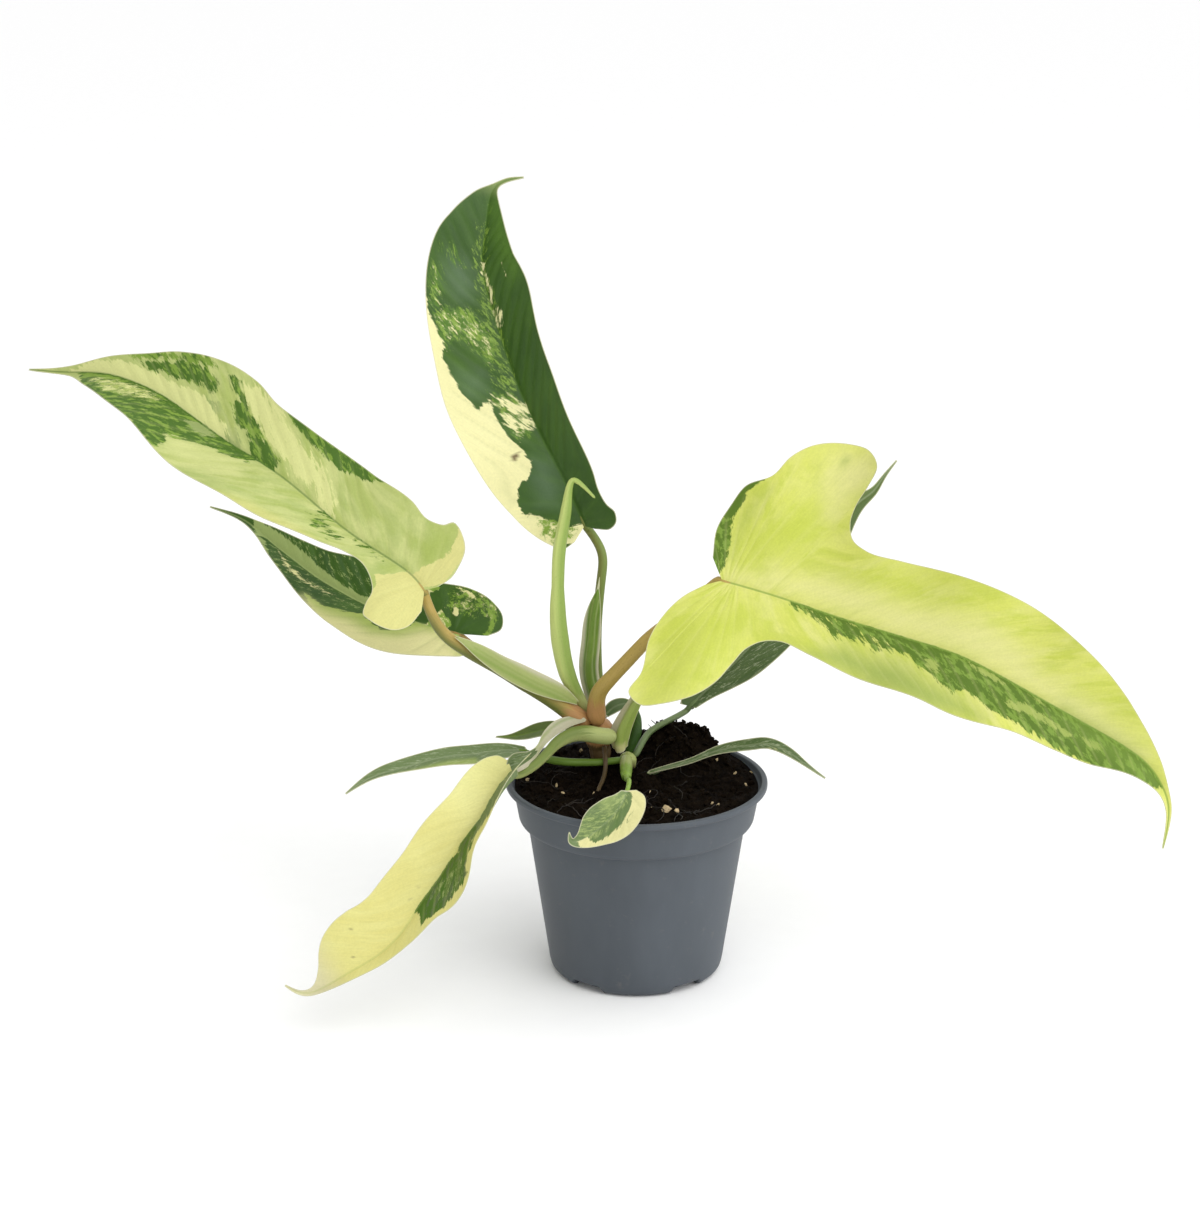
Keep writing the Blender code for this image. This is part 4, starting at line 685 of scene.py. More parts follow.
def curve(points, per_span=40):
    """Natural cubic curve through points, spaced by the square root of their distance.
    Returns the distance along it, its points and its unit tangents."""
    p = np.asarray(points, float)
    n = len(p)
    d = np.r_[0.0, np.cumsum(np.sqrt(np.linalg.norm(np.diff(p, axis=0), axis=1)))]
    h = np.diff(d)
    lhs = np.eye(n)
    rhs = np.zeros_like(p)
    for i in range(1, n - 1):
        lhs[i, i - 1:i + 2] = (h[i - 1], 2.0 * (h[i - 1] + h[i]), h[i])
        rhs[i] = 6.0 * ((p[i + 1] - p[i]) / h[i] - (p[i] - p[i - 1]) / h[i - 1])
    m = np.linalg.solve(lhs, rhs)
    t = np.linspace(0.0, d[-1], per_span * (n - 1) + 1)
    i = np.clip(np.searchsorted(d, t, side="right") - 1, 0, n - 2)
    x = (t - d[i])[:, None]
    hi = h[i][:, None]
    slope = (p[i + 1] - p[i]) / hi - hi * (2.0 * m[i] + m[i + 1]) / 6.0
    q = p[i] + slope * x + m[i] * x ** 2 / 2.0 + (m[i + 1] - m[i]) * x ** 3 / (6.0 * hi)
    s = np.r_[0.0, np.cumsum(np.linalg.norm(np.diff(q, axis=0), axis=1))]
    return s, q, unit(np.gradient(q, s, axis=0))


def along(values, s, at):
    """Rows of a table known at distances s, read at other distances."""
    return np.stack([np.interp(at, s, values[:, k]) for k in range(values.shape[1])], -1)


def stations(table, share):
    """Values of (share, value, ...) rows, blended with smooth steps between the rows."""
    t = np.asarray(table, float)
    share = np.clip(share, 0.0, 1.0)
    i = np.clip(np.searchsorted(t[:, 0], share, side="right") - 1, 0, len(t) - 2)
    k = smooth((share - t[i, 0]) / (t[i + 1, 0] - t[i, 0]))[:, None]
    return t[i, 1:] * (1.0 - k) + t[i + 1, 1:] * k


class Leaf:
    """A leaf laid along its midrib. A flat point (a, b) lies a along the midrib and b to
    its left. Each side rises at the fold angle and turns further by the curl per 10 mm,
    so that across the leaf it is an arc, and a sine ripple lifts the edge."""

    def __init__(self, midrib, face, left, rib, right=None, fold=EVEN_FOLD, curl=EVEN_CURL,
                 wave=(0.0, 40.0, 0.0)):
        """A leaf with no right outline has the left one on both sides."""
        self.s, self.points, self.tangents = curve(midrib)
        self.length = self.s[-1]
        self.face = [(k, *v) for k, v in face]
        self.fold, self.curl, self.wave = fold, curl, wave
        self.left, self.right, self.rib = left, right or left, rib

    def line(self, a):
        """Midrib point, tangent, upper-face normal and left direction at a."""
        inside = np.clip(a, 0.0, self.length)
        t = unit(along(self.tangents, self.s, inside))
        p = along(self.points, self.s, inside) + t * (a - inside)[:, None]
        n = stations(self.face, inside / self.length)
        n = unit(n - (n * t).sum(1, keepdims=True) * t)
        return p, t, n, np.cross(n, t)

    def surface(self, a, b):
        """Upper-face points and normals of the flat points (a, b)."""
        p, t, n, left = self.line(a)
        share = np.clip(a, 0.0, self.length) / self.length
        column = (b < 0.0).astype(int)
        rows = np.arange(len(b))
        fold = np.radians(stations(self.fold, share)[rows, column])
        turn = np.radians(stations(self.curl, share)[rows, column]) / 10.0
        turn = np.where(np.abs(turn) < 1e-6, 1e-6, turn)
        w = np.abs(b)
        sign = np.where(b < 0.0, -1.0, 1.0)[:, None]
        end = fold + turn * w
        out = ((np.sin(end) - np.sin(fold)) / turn)[:, None]
        rise = ((np.cos(fold) - np.cos(end)) / turn)[:, None]
        normal = n * np.cos(end)[:, None] - sign * left * np.sin(end)[:, None]
        normal = np.where((w < 1e-6)[:, None], n, normal)
        height, pitch, phase = self.wave
        ripple = height * np.minimum(w / 25.0, 1.5) ** 2
        ripple = ripple * np.sin(2.0 * np.pi * a / pitch + phase + 1.3 * column)
        return p + left * sign * out + n * rise + normal * ripple[:, None], normal


def pixels(points):
    """Photo pixels where its camera sees points: the middle pixel plus the focal length
    times the way to the right, or downwards, over the way ahead."""
    away = points - np.array(CAMERA) / MM
    tilt = math.radians(TILT)
    ahead = away @ (0.0, math.cos(tilt), -math.sin(tilt))
    up = away @ (0.0, math.sin(tilt), math.cos(tilt))
    return MIDDLE[0] + FOCUS * away[:, 0] / ahead, MIDDLE[1] - FOCUS * up / ahead


def flat_marks(leaf, marks):
    """Marks from the views laid on the flat leaf. The photo's camera sees a grid of flat
    points that goes 3 mm past the outline. Each point of a mark becomes the grid point
    seen nearest to it, in whole millimetres, and a point that repeats the last is dropped."""
    past, gap = 3.0, 0.5
    low = min(a for a, _ in leaf.left + leaf.right) - past
    left, right = (max(b for _, b in side) + past for side in (leaf.left, leaf.right))
    a, b = np.meshgrid(np.arange(low, leaf.length + past, gap), np.arange(-right, left, gap),
                       indexing="ij")
    a, b = a.ravel(), b.ravel()
    x, y = pixels(leaf.surface(a, b)[0])
    outlines = {}
    for label, (view, points) in marks.items():
        corner_x, corner_y, zoom = VIEWS[view]
        outline = []
        for across, down in points:
            k = np.hypot(x - (corner_x + across / zoom), y - (corner_y + down / zoom)).argmin()
            spot = (int(round(a[k])), int(round(b[k])))
            if outline[-1:] != [spot]:
                outline.append(spot)
        outlines[label] = outline
    return outlines


def coat_rows(name, leaf):
    """The leaf's coats, with each mark's name replaced by its outline on the flat leaf."""
    marks = flat_marks(leaf, MARKS[name]) if name in MARKS else {}
    return [(*look, marks[what] if isinstance(what, str) else what)
            for *look, what in COATS.get(name, ())]


def margin_of(outline, length, finer=5):
    """Margin through the outline points, a cubic whose slopes are their central
    differences, and the midrib foot of the side vein that reaches each margin point.
    A foot lies 0.45 of the width nearer the stalk and never goes back."""
    p = np.asarray(outline, float)
    span = np.linalg.norm(np.diff(p, axis=0), axis=1)
    slope = np.gradient(p, np.r_[0.0, np.cumsum(span)], axis=0)
    counts = np.maximum(1, np.round(span / 6.5)).astype(int) * finer
    i = np.repeat(np.arange(len(span)), counts)
    k = np.arange(counts.sum()) - np.repeat(np.cumsum(counts) - counts, counts) + 1
    x = (k / counts[i])[:, None]
    margin = ((2 * x ** 3 - 3 * x ** 2 + 1) * p[i] + (3 * x ** 2 - 2 * x ** 3) * p[i + 1]
              + span[i][:, None] * ((x ** 3 - 2 * x ** 2 + x) * slope[i]
                                    + (x ** 3 - x ** 2) * slope[i + 1]))
    margin = np.vstack([p[:1], margin])
    feet = margin[:, 0] - 0.45 * margin[:, 1]
    feet[0] = 0.0
    steps = 0.4 / finer * np.arange(len(feet))
    feet = np.maximum.accumulate(feet - steps) + steps
    feet[-1] = length
    return np.minimum(feet, length - (steps[-1] - steps)), margin


def inside(a, b, outline):
    """Distance from flat points to a closed outline, positive inside it: the nearest
    side's distance, with its sign from how many sides lie to one hand."""
    p = np.asarray(outline, float)
    d = np.roll(p, -1, axis=0) - p
    x, y = a[:, None] - p[:, 0], b[:, None] - p[:, 1]
    k = np.clip((x * d[:, 0] + y * d[:, 1]) / np.maximum((d ** 2).sum(1), 1e-9), 0.0, 1.0)
    far = np.hypot(x - k * d[:, 0], y - k * d[:, 1]).min(1)
    spans = (y < 0.0) != (y < d[:, 1])
    rise = np.where(d[:, 1] == 0.0, 1e-9, d[:, 1])
    return np.where((spans & (x < d[:, 0] * y / rise)).sum(1) % 2 == 1, far, -far)


def grid_faces(rows, columns, first=0):
    """Quads of a grid of vertices numbered row by row."""
    k = first + np.arange(rows * columns).reshape(rows, columns)
    quads = np.stack([k[:-1, :-1], k[:-1, 1:], k[1:, 1:], k[1:, :-1]], -1)
    return quads.reshape(-1, 4)


def make_piece(name, node, points, faces, finish, uv=None, values=None, sharp=55.0,
               replaces=True):
    """Put whole arrays of points and faces into a mesh. The piece rides on the plant's
    one body and, when it replaces the node, hides the node and stands for it in the render."""
    mesh = bpy.data.meshes.new(name)
    mesh.vertices.add(len(points))
    mesh.vertices.foreach_set("co", (np.asarray(points) * MM).astype(np.float32).ravel())
    corners = np.concatenate([f.ravel() for f in faces]).astype(np.int32)
    sizes = np.concatenate([np.full(len(f), f.shape[1]) for f in faces])
    mesh.loops.add(len(corners))
    mesh.loops.foreach_set("vertex_index", corners)
    mesh.polygons.add(len(sizes))
    mesh.polygons.foreach_set("loop_start", np.r_[0, np.cumsum(sizes)[:-1]].astype(np.int32))
    mesh.update(calc_edges=True)
    if uv is not None:
        mesh.uv_layers.new(name="veins").uv.foreach_set("vector", uv.astype(np.float32).ravel())
    for key, value in (values or {}).items():
        data = mesh.attributes.new(key, "FLOAT", "POINT").data
        data.foreach_set("value", value.astype(np.float32))
    mesh.shade_smooth()
    mesh.set_sharp_from_angle(angle=math.radians(sharp))
    mesh.materials.append(finish)
    piece = bpy.data.objects.new(name, mesh)
    bpy.context.scene.collection.objects.link(piece)
    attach(piece, "root")
    if replaces:
        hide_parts(node)


def blade_arrays(leaf, thick, vein_gap, vein_depth, step=1.3, columns=24, lean=0.9):
    """Closed blade on a grid of (side vein, reach along it), from the left margin over
    the midrib to the right. Rows are spaced evenly by the margin and midrib they pass.
    Height above the smooth leaf = a groove over the midrib, exp(-(b / 1.2)^2), narrow
    grooves over the side veins and a swell of sin^2 between them. The under side lies a
    thickness below, less at the margin, with a half-round rib."""
    halves = [margin_of(side, leaf.length) for side in (leaf.left, leaf.right)]
    feet = np.union1d(halves[0][0], halves[1][0])
    arcs = [np.interp(feet, f, np.r_[0.0, np.cumsum(np.linalg.norm(np.diff(m, axis=0), axis=1))])
            for f, m in halves]
    cost = feet + 0.5 * (arcs[0] + arcs[1])
    foot = np.interp(np.linspace(cost[0], cost[-1], int(cost[-1] / step)), cost, feet)
    near = 1.0 - foot / leaf.length
    width = leaf.rib[1] * (0.35 + 0.65 * near)
    a_side, b_side, gap_side, u_side, reaches = [], [], [], [], []
    for k, (own, margin) in enumerate(halves):
        a1, b1 = np.interp(foot, own, margin[:, 0]), np.interp(foot, own, margin[:, 1])
        reach = np.hypot(a1 - foot, b1)
        first = np.minimum(width[:, None] * (0.3, 0.6, 0.9, 1.25),
                           reach[:, None] * np.arange(1, 5) / columns)
        edge = reach - np.minimum(0.5, 0.08 * reach)
        rest = first[:, -1:] + (edge - first[:, -1])[:, None] * np.linspace(0, 1, columns - 4)[1:]
        away = np.hstack([first, rest, reach[:, None]])
        t = away / reach[:, None]
        a_side.append(foot[:, None] + (a1 - foot)[:, None] * t)
        b_side.append((1.0, -1.0)[k] * b1[:, None] * t)
        gap_side.append(away)
        half_a, half_b = 0.5 * (foot + a1), 0.5 * b1
        u = np.r_[0.0, np.cumsum(np.hypot(np.diff(half_a), np.diff(half_b)))]
        u_side.append(u + 500.0 * k)
        reaches.append(reach)
    zero = np.zeros((len(foot), 1))
    a = np.hstack([a_side[0][:, ::-1], foot[:, None], a_side[1]])
    b = np.hstack([b_side[0][:, ::-1], zero, b_side[1]])
    away = np.hstack([gap_side[0][:, ::-1], zero, gap_side[1]])
    wide = 2 * columns + 1
    on_right = np.arange(wide) > columns
    reach = np.where(on_right, reaches[1][:, None], reaches[0][:, None])
    u = np.where(on_right, u_side[1][:, None], u_side[0][:, None])
    tilt = lean * np.abs(b) * smooth(foot, 0.05 * leaf.length, 0.2 * leaf.length)[:, None]
    u = u - tilt
    phase = u / vein_gap + 0.3 * np.sin(u / 17.0)
    off = np.abs(phase - np.floor(phase) - 0.5)
    fade = smooth(away, 0.5, 5.0) * smooth(1.0 - away / reach, 0.02, 0.22)
    fade = fade * smooth(reach, 4.0, 14.0)
    vein = np.exp(-(off * vein_gap / 0.8) ** 2) * fade
    swell = np.sin(np.pi * off) ** 2 * fade
    rib_line = np.exp(-(b / 1.2) ** 2) * np.clip(near, 0.0, 1.0)[:, None] ** 0.5
    height = vein_depth * (1.6 * swell - vein) - 0.45 * rib_line * min(1.0, leaf.rib[0] / 2.0)
    shape = a.shape
    top, normal = leaf.surface(a.ravel(), b.ravel())
    top = top + normal * height.ravel()[:, None]
    share = np.clip(1.0 - a / leaf.length, 0.0, 1.0)
    rib_width = leaf.rib[1] * (0.35 + 0.65 * share)
    from_rib = np.where(a < 0.0, np.hypot(3.0 * a, b), np.abs(b)) / rib_width
    bulge = leaf.rib[0] * share ** 0.8 * np.sqrt(np.clip(1.0 - from_rib ** 2, 0.0, 1.0))
    depth = thick * (0.55 + 0.45 * smooth(reach - away, 0.0, 2.0)) + bulge
    low = top - normal * depth.ravel()[:, None]
    points = np.vstack([top, low])
    count = len(top)
    upper = grid_faces(*shape)
    k = np.arange(count).reshape(shape)
    ring = np.r_[k[:, 0], k[-1, 1:], k[-2::-1, -1], k[0, -2:0:-1]]
    after = np.roll(ring, -1)
    wall = np.stack([ring, after, after + count, ring + count], -1)
    faces = [upper, upper[:, ::-1] + count, wall]
    u_left = np.tile((u_side[0][:, None] - tilt).ravel(), 2)
    u_right = np.tile((u_side[1][:, None] - tilt).ravel(), 2)
    corners = np.vstack(faces)
    right_face = (corners % count % wide).mean(1) > columns
    uv = np.stack([np.where(right_face[:, None], u_right[corners], u_left[corners]),
                   np.tile((away * (1.0 + 0.6 * lean)).ravel(), 2)[corners]], -1)
    outline = np.vstack([halves[0][1], (halves[1][1] * (1, -1))[::-1]])
    values = {
        "edge": np.maximum(inside(a.ravel(), b.ravel(), outline), 0.0),
        "rib": np.abs(b).ravel(), "vein": vein.ravel(),
    }
    values = {key: np.tile(v, 2) for key, v in values.items()}
    values["under"] = np.repeat([0.0, 1.0], count)
    return points, faces, uv, values, a.ravel(), b.ravel()


def coat_values(a, b, patches):
    """Density from 0 to 1 of each colour coat at flat points: the cover of its densest
    patch, with a smooth edge. Patches that follow each other with one hue and kind make one
    coat. A solid patch that comes near the midrib runs up to it and stops there."""
    coats = []
    for hue, kind, cover, edge, outline in patches:
        p = np.array(outline, float)
        side = np.sign(p[:, 1].mean())
        along_rib = kind == "solid" and 1.0 < abs(p[:, 1].mean()) and np.abs(p[:, 1]).max() > 5.0
        if along_rib:
            p[:, 1] = np.where(side * p[:, 1] < 2.5, -6.0 * side, p[:, 1])
        density = cover * smooth(inside(a, b, p), -edge, edge)
        if along_rib:
            density = density * (side * b > -0.1)
        if coats and coats[-1][:2] == [hue, kind]:
            coats[-1][2] = np.maximum(coats[-1][2], density)
        else:
            coats.append([hue, kind, density])
    return coats


def tube_arrays(path, radii, sides=24, step=1.2, shape=None):
    """Closed tube: a ring of the radius given for each share of the length, carried along
    the curve through the path, and drawn in to round ends. shape(turn, share) scales the
    radius round the ring. The rings are kept level against the plane that fits the path
    best."""
    s, q, t = curve(path)
    rings = max(12, int(s[-1] / step))
    share = np.linspace(0.0, 1.0, rings)
    centre, ahead = along(q, s, share * s[-1]), unit(along(t, s, share * s[-1]))
    flat = np.linalg.svd(centre - centre.mean(0))[2][-1]
    side = unit(np.cross(ahead, flat))
    up = np.cross(side, ahead)
    radius = np.interp(share, [x[0] for x in radii], [x[1] for x in radii])
    ends = np.minimum(share, 1.0 - share) * s[-1]
    radius = radius * np.sqrt(np.clip(1.0 - (1.0 - np.minimum(ends / radius, 1.0)) ** 2, 0.05, 1))
    turn = 2.0 * np.pi * np.arange(sides) / sides
    scale = radius[:, None] * (1.0 if shape is None else shape(turn[None, :], share[:, None]))
    out = np.cos(turn)[None, :, None] * side[:, None] + np.sin(turn)[None, :, None] * up[:, None]
    grid = centre[:, None] + scale[..., None] * out
    points, faces, uv = skin(grid, radius, share * s[-1])
    values = {"upper": out[..., 2], "right": out[..., 0]}
    values = {key: np.r_[(0.5 + 0.5 * v).ravel(), 0.5, 0.5] for key, v in values.items()}
    foot = 1.0 - smooth(share * s[-1], 5.0, 24.0)
    values["foot"] = np.r_[np.repeat(foot, sides), 1.0, 0.0]
    return points, faces, uv, values


def skin(grid, radius, length):
    """Closed surface over a grid of rings: quads round it and a fan at either end, faces
    turned outwards by the sign of the volume they enclose. The UV is the distance round
    the ring and along the grid."""
    rings, sides = grid.shape[:2]
    points = np.vstack([grid.reshape(-1, 3), grid[0].mean(0), grid[-1].mean(0)])
    k = np.arange(rings * sides).reshape(rings, sides)
    n = np.roll(k, -1, axis=1)
    quads = np.stack([k[:-1], n[:-1], n[1:], k[1:]], -1).reshape(-1, 4)
    last = rings * sides
    fans = np.vstack([np.stack([n[0], k[0], np.full(sides, last)], -1),
                      np.stack([k[-1], n[-1], np.full(sides, last + 1)], -1)])
    j = np.arange(sides) / sides
    j1 = j + 1.0 / sides
    around = 2.0 * np.pi * np.asarray(radius)
    length = np.asarray(length)
    u = np.stack([around[:-1, None] * j, around[:-1, None] * j1,
                  around[1:, None] * j1, around[1:, None] * j], -1)
    v = np.stack([length[:-1], length[:-1], length[1:], length[1:]], -1)
    v = np.repeat(v[:, None], sides, axis=1)
    uv = np.stack([u, v], -1).reshape(-1, 2)
    ends = np.repeat([(0.0, length[0]), (0.0, length[-1])], 3 * sides, axis=0)
    a, b, c = (points[quads[:, m]] for m in (0, 1, 2))
    if (a * np.cross(b, c)).sum() + (a * np.cross(c, points[quads[:, 3]])).sum() < 0.0:
        quads, fans = quads[:, ::-1], fans[:, ::-1]
        uv = uv.reshape(-1, 4, 2)[:, ::-1].reshape(-1, 2)
    return points, [quads, fans], np.vstack([uv, ends])


def rounded(profile, radius, steps=4):
    """Profile with each inner corner replaced by a quadratic curve that starts and ends
    that far from it, or 0.4 of the way to the next corner if that is nearer."""
    p = np.asarray(profile, float)
    back, ahead = p[:-2] - p[1:-1], p[2:] - p[1:-1]
    lb = np.linalg.norm(back, axis=1, keepdims=True)
    la = np.linalg.norm(ahead, axis=1, keepdims=True)
    p0 = p[1:-1] + back / lb * np.minimum(radius, 0.4 * lb)
    p2 = p[1:-1] + ahead / la * np.minimum(radius, 0.4 * la)
    t = np.linspace(0.0, 1.0, steps + 1)[None, :, None]
    arcs = (1 - t) ** 2 * p0[:, None] + 2 * t * (1 - t) * p[1:-1][:, None] + t ** 2 * p2[:, None]
    return np.vstack([p[:1], arcs.reshape(-1, 2), p[-1:]])


def hill(x, y, row):
    """Round hill: its height times exp(-d^2 / 2s^2) at a distance d from its middle."""
    middle_x, middle_y, height, spread = row
    return height * np.exp(-((x - middle_x) ** 2 + (y - middle_y) ** 2) / (2.0 * spread ** 2))


def soil_height(x, y):
    """Height of the soil: a level that rises a little to the back, a bank at the back left,
    a heap at the back right, a mound round the stem, two sine swells, and four sizes of
    lumps that fade out at the pot's wall."""
    r = np.hypot(x, y)
    inner = smooth((55.6 - r) / 7.0)
    swell = 0.9 * np.sin(x / 6.1 + 1.0) * np.sin(y / 5.3 + 0.4)
    swell = swell + 0.6 * np.sin(x / 3.4 - y / 4.1 + 2.0)
    level = 88.4 + 2.4 * smooth(y, 0.0, 40.0) * smooth(r, 20.0, 45.0)
    level = level + hill(x, y, BANK)
    rough = 1.5 * (lumps(x, y, 4.6, 1) - 0.5) + 1.6 * np.abs(lumps(x, y, 2.1, 2) - 0.5)
    rough = rough + 0.9 * (lumps(x, y, 1.05, 3) - 0.5) + 0.45 * (lumps(x, y, 0.5, 4) - 0.5)
    raised = hill(x, y, HEAP) + hill(x, y, MOUND) + swell
    return level + inner * raised + smooth(55.3 - r, 0.0, 3.0) * rough


class Finish:
    """A procedural material. Its methods add nodes, and most of them return an output."""

    def __init__(self, name, roughness=0.5, specular=0.5):
        """A new material with its shader's constants set."""
        self.material = bpy.data.materials.new(name)
        self.material.use_nodes = True
        self.tree = self.material.node_tree
        self.shader = self.tree.nodes["Principled BSDF"]
        self.shader.inputs["Roughness"].default_value = roughness
        self.shader.inputs["Specular IOR Level"].default_value = specular

    def feed(self, socket, value):
        """Link a node's output to a socket, or set the socket to a plain value."""
        if isinstance(value, bpy.types.NodeSocket):
            self.tree.links.new(value, socket)
        elif isinstance(value, (tuple, list)) and len(value) == 3 and socket.type == "RGBA":
            socket.default_value = (*value, 1.0)
        else:
            socket.default_value = value

    def add(self, kind, out, inputs, **settings):
        """Add a node, set it up, feed its inputs and return one of its outputs."""
        node = self.tree.nodes.new("ShaderNode" + kind)
        for key, value in settings.items():
            setattr(node, key, value)
        for key, value in inputs.items():
            self.feed(node.inputs[key], value)
        return node.outputs[out]

    def value(self, name):
        """One of the mesh's own values at each point."""
        return self.add("Attribute", "Fac", {}, attribute_name=name)

    def place(self, scale=(1.0, 1.0, 1.0), shift=(0.0, 0.0, 0.0), flat=False):
        """Object coordinates in metres, or the piece's own UV in millimetres if flat."""
        if flat:
            source = self.add("UVMap", "UV", {}, uv_map="veins")
        else:
            source = self.add("TexCoord", "Object", {})
        return self.add("Mapping", 0, {"Vector": source, "Scale": scale, "Location": shift})

    def noise(self, vector, scale=1.0, detail=3.0, rough=0.55):
        """Fractal noise from 0 to 1."""
        return self.add("TexNoise", "Fac", {"Vector": vector, "Scale": scale,
                                            "Detail": detail, "Roughness": rough})

    def ramp(self, value, low, high, to_low=0.0, to_high=1.0):
        """Straight ramp: to_low at low and below, to_high at high and above."""
        return self.add("MapRange", 0, {"Value": value, "From Min": low, "From Max": high,
                                        "To Min": to_low, "To Max": to_high})

    def math(self, operation, a, b):
        """Sum, difference or product of two values."""
        return self.add("Math", 0, {0: a, 1: b}, operation=operation)

    def mix(self, share, a, b):
        """Colour a with a share of colour b over it."""
        return self.add("Mix", 2, {0: share, 6: a, 7: b}, data_type="RGBA")

    def bump(self, height, distance, strength):
        """Fine relief: the height times a distance in metres."""
        normal = self.add("Bump", 0, {"Height": height, "Distance": distance,
                                      "Strength": strength})
        self.feed(self.shader.inputs["Normal"], normal)

    def colour(self, value):
        """Set the surface's colour."""
        self.feed(self.shader.inputs["Base Color"], value)

    def rough(self, value):
        """Set the surface's roughness."""
        self.feed(self.shader.inputs["Roughness"], value)

    def glow(self, colour, share):
        """Light that comes through thin tissue: a share of translucent shader."""
        through = self.add("BsdfTranslucent", 0, {"Color": colour})
        output = self.tree.nodes["Material Output"]
        both = self.add("MixShader", 0, {0: share, 1: self.shader.outputs[0], 2: through})
        self.tree.links.new(both, output.inputs["Surface"])


# Dark dots in a leaf's tissue, and dust on the pot
DARK_CELL = (0.02, 0.03, 0.01)
DUST = (0.25, 0.22, 0.18)


def shade(rgb, factor):
    """A colour made lighter or darker."""
    return tuple(min(1.0, c * factor) for c in rgb)


def leaf_finish(name, hues, row, coats):
    """Waxy leaf: clouds of two ground colours, then one coat after another, then streaks,
    veins, midrib line, edge, dark dots and underside. A soft coat is mixed in by its
    density, and a cloud coat by its density times a noise. Solid coats and flecks show
    where the density passes a noise drawn out along the side veins, with a half tone
    before the full one. A coat of two hues shows the second where another noise is high."""
    base, second, line_hue, line_share, _, _, through = row
    f = Finish(name, specular=0.28)
    cloud = f.noise(f.place((0.13, 0.035, 1.0), (2.0, 5.0, 0.0), flat=True), detail=4.0)
    patch = f.noise(f.place(), 45.0, 3.0)
    streak = f.noise(f.place((1.2, 0.10, 1.0), flat=True), detail=3.0)
    crumb = f.noise(f.place((0.22, 0.14, 1.0), (4.0, 9.0, 0.0), flat=True), detail=6.0,
                    rough=0.66)
    cell = f.noise(f.place(), 1100.0, 2.0)
    ground = f.math("ADD", f.ramp(cloud, 0.42, 0.72, 0.0, 0.4), f.ramp(patch, 0.4, 0.7, 0.0, 0.3))
    colour = f.mix(ground, hues[base], hues[second])
    for k, (hue_name, kind) in enumerate(coats):
        density = f.value("coat_%d" % k)
        tones = [hues[h] for h in hue_name.split("/")]
        target = tones[0]
        if len(tones) > 1:
            target = f.mix(f.ramp(crumb, 0.5, 0.56), tones[0], tones[1])
        if kind == "soft":
            colour = f.mix(density, colour, target)
            continue
        shift = (7.3 * k + 1.0, 3.1 * k, 0.0)
        if kind == "cloud":
            grain = f.noise(f.place((0.11, 0.05, 1.0), shift, flat=True), detail=5.0)
            share = f.math("MULTIPLY", density, f.ramp(grain, 0.47, 0.60))
            colour = f.mix(share, colour, target)
            continue
        size = (0.30, 0.11, 1.0) if kind == "solid" else (0.34, 0.19, 1.0)
        grain = f.noise(f.place(size, shift, flat=True), detail=8.0,
                        rough=0.68 if kind == "solid" else 0.8)
        over = f.math("SUBTRACT", density, f.ramp(grain, 0.33, 0.67, 0.17, 0.96))
        half = f.ramp(over, -0.10, -0.06, 0.0, 0.35)
        full = f.ramp(over, 0.0, 0.03, 0.0, 0.65)
        colour = f.mix(f.math("ADD", half, full), colour, target)
    colour = f.mix(f.ramp(streak, 0.35, 0.7, 0.0, 0.3), colour,
                   f.mix(0.25, colour, hues["green"]))
    colour = f.mix(f.math("MULTIPLY", f.value("vein"), 0.12), colour, hues[second])
    line = f.ramp(f.value("rib"), 0.25, 0.6, line_share, 0.0)
    colour = f.mix(line, colour, hues[line_hue])
    edge = f.ramp(f.value("edge"), 0.12, 0.5, 0.75, 0.0)
    colour = f.mix(edge, colour, hues["rim"])
    colour = f.mix(f.ramp(cell, 0.3, 0.7, 0.0, 0.07), colour, DARK_CELL)
    if line_share > 0.0:
        under = f.math("MULTIPLY", f.value("under"), 0.35)
        colour = f.mix(under, colour, hues["under"])
    f.colour(colour)
    f.rough(f.ramp(cell, 0.3, 0.7, 0.36, 0.5))
    f.bump(cell, 0.0002, 0.35)
    f.glow(colour, through)
    return f.material


def stalk_finish(name, low, high, facing, foot, fleck):
    """Smooth stalk: the low colour below or at the left, the high colour above or at the
    right, a third colour at the foot, drawn-out streaks and fine dots."""
    f = Finish(name, specular=0.3)
    streak = f.noise(f.place((1.3, 0.08, 1.0), flat=True), detail=4.0)
    side = f.ramp(f.value(facing), 0.3, 0.7)
    colour = f.mix(side, low, high)
    near = f.math("ADD", f.value("foot"), f.ramp(streak, 0.3, 0.7, -0.25, 0.25))
    colour = f.mix(f.ramp(near, 0.3, 0.7), colour, foot)
    colour = f.mix(f.ramp(streak, 0.35, 0.7, 0.0, 0.5), colour,
                   f.mix(0.5, colour, shade(low, 0.5)))
    dots = f.noise(f.place(), 1700.0, 2.0)
    colour = f.mix(f.ramp(dots, 0.62, 0.72, 0.0, 0.35 + fleck), colour, shade(high, 0.45))
    f.colour(colour)
    f.rough(f.ramp(dots, 0.3, 0.7, 0.38, 0.55))
    f.bump(streak, 0.0004, 0.4)
    return f.material


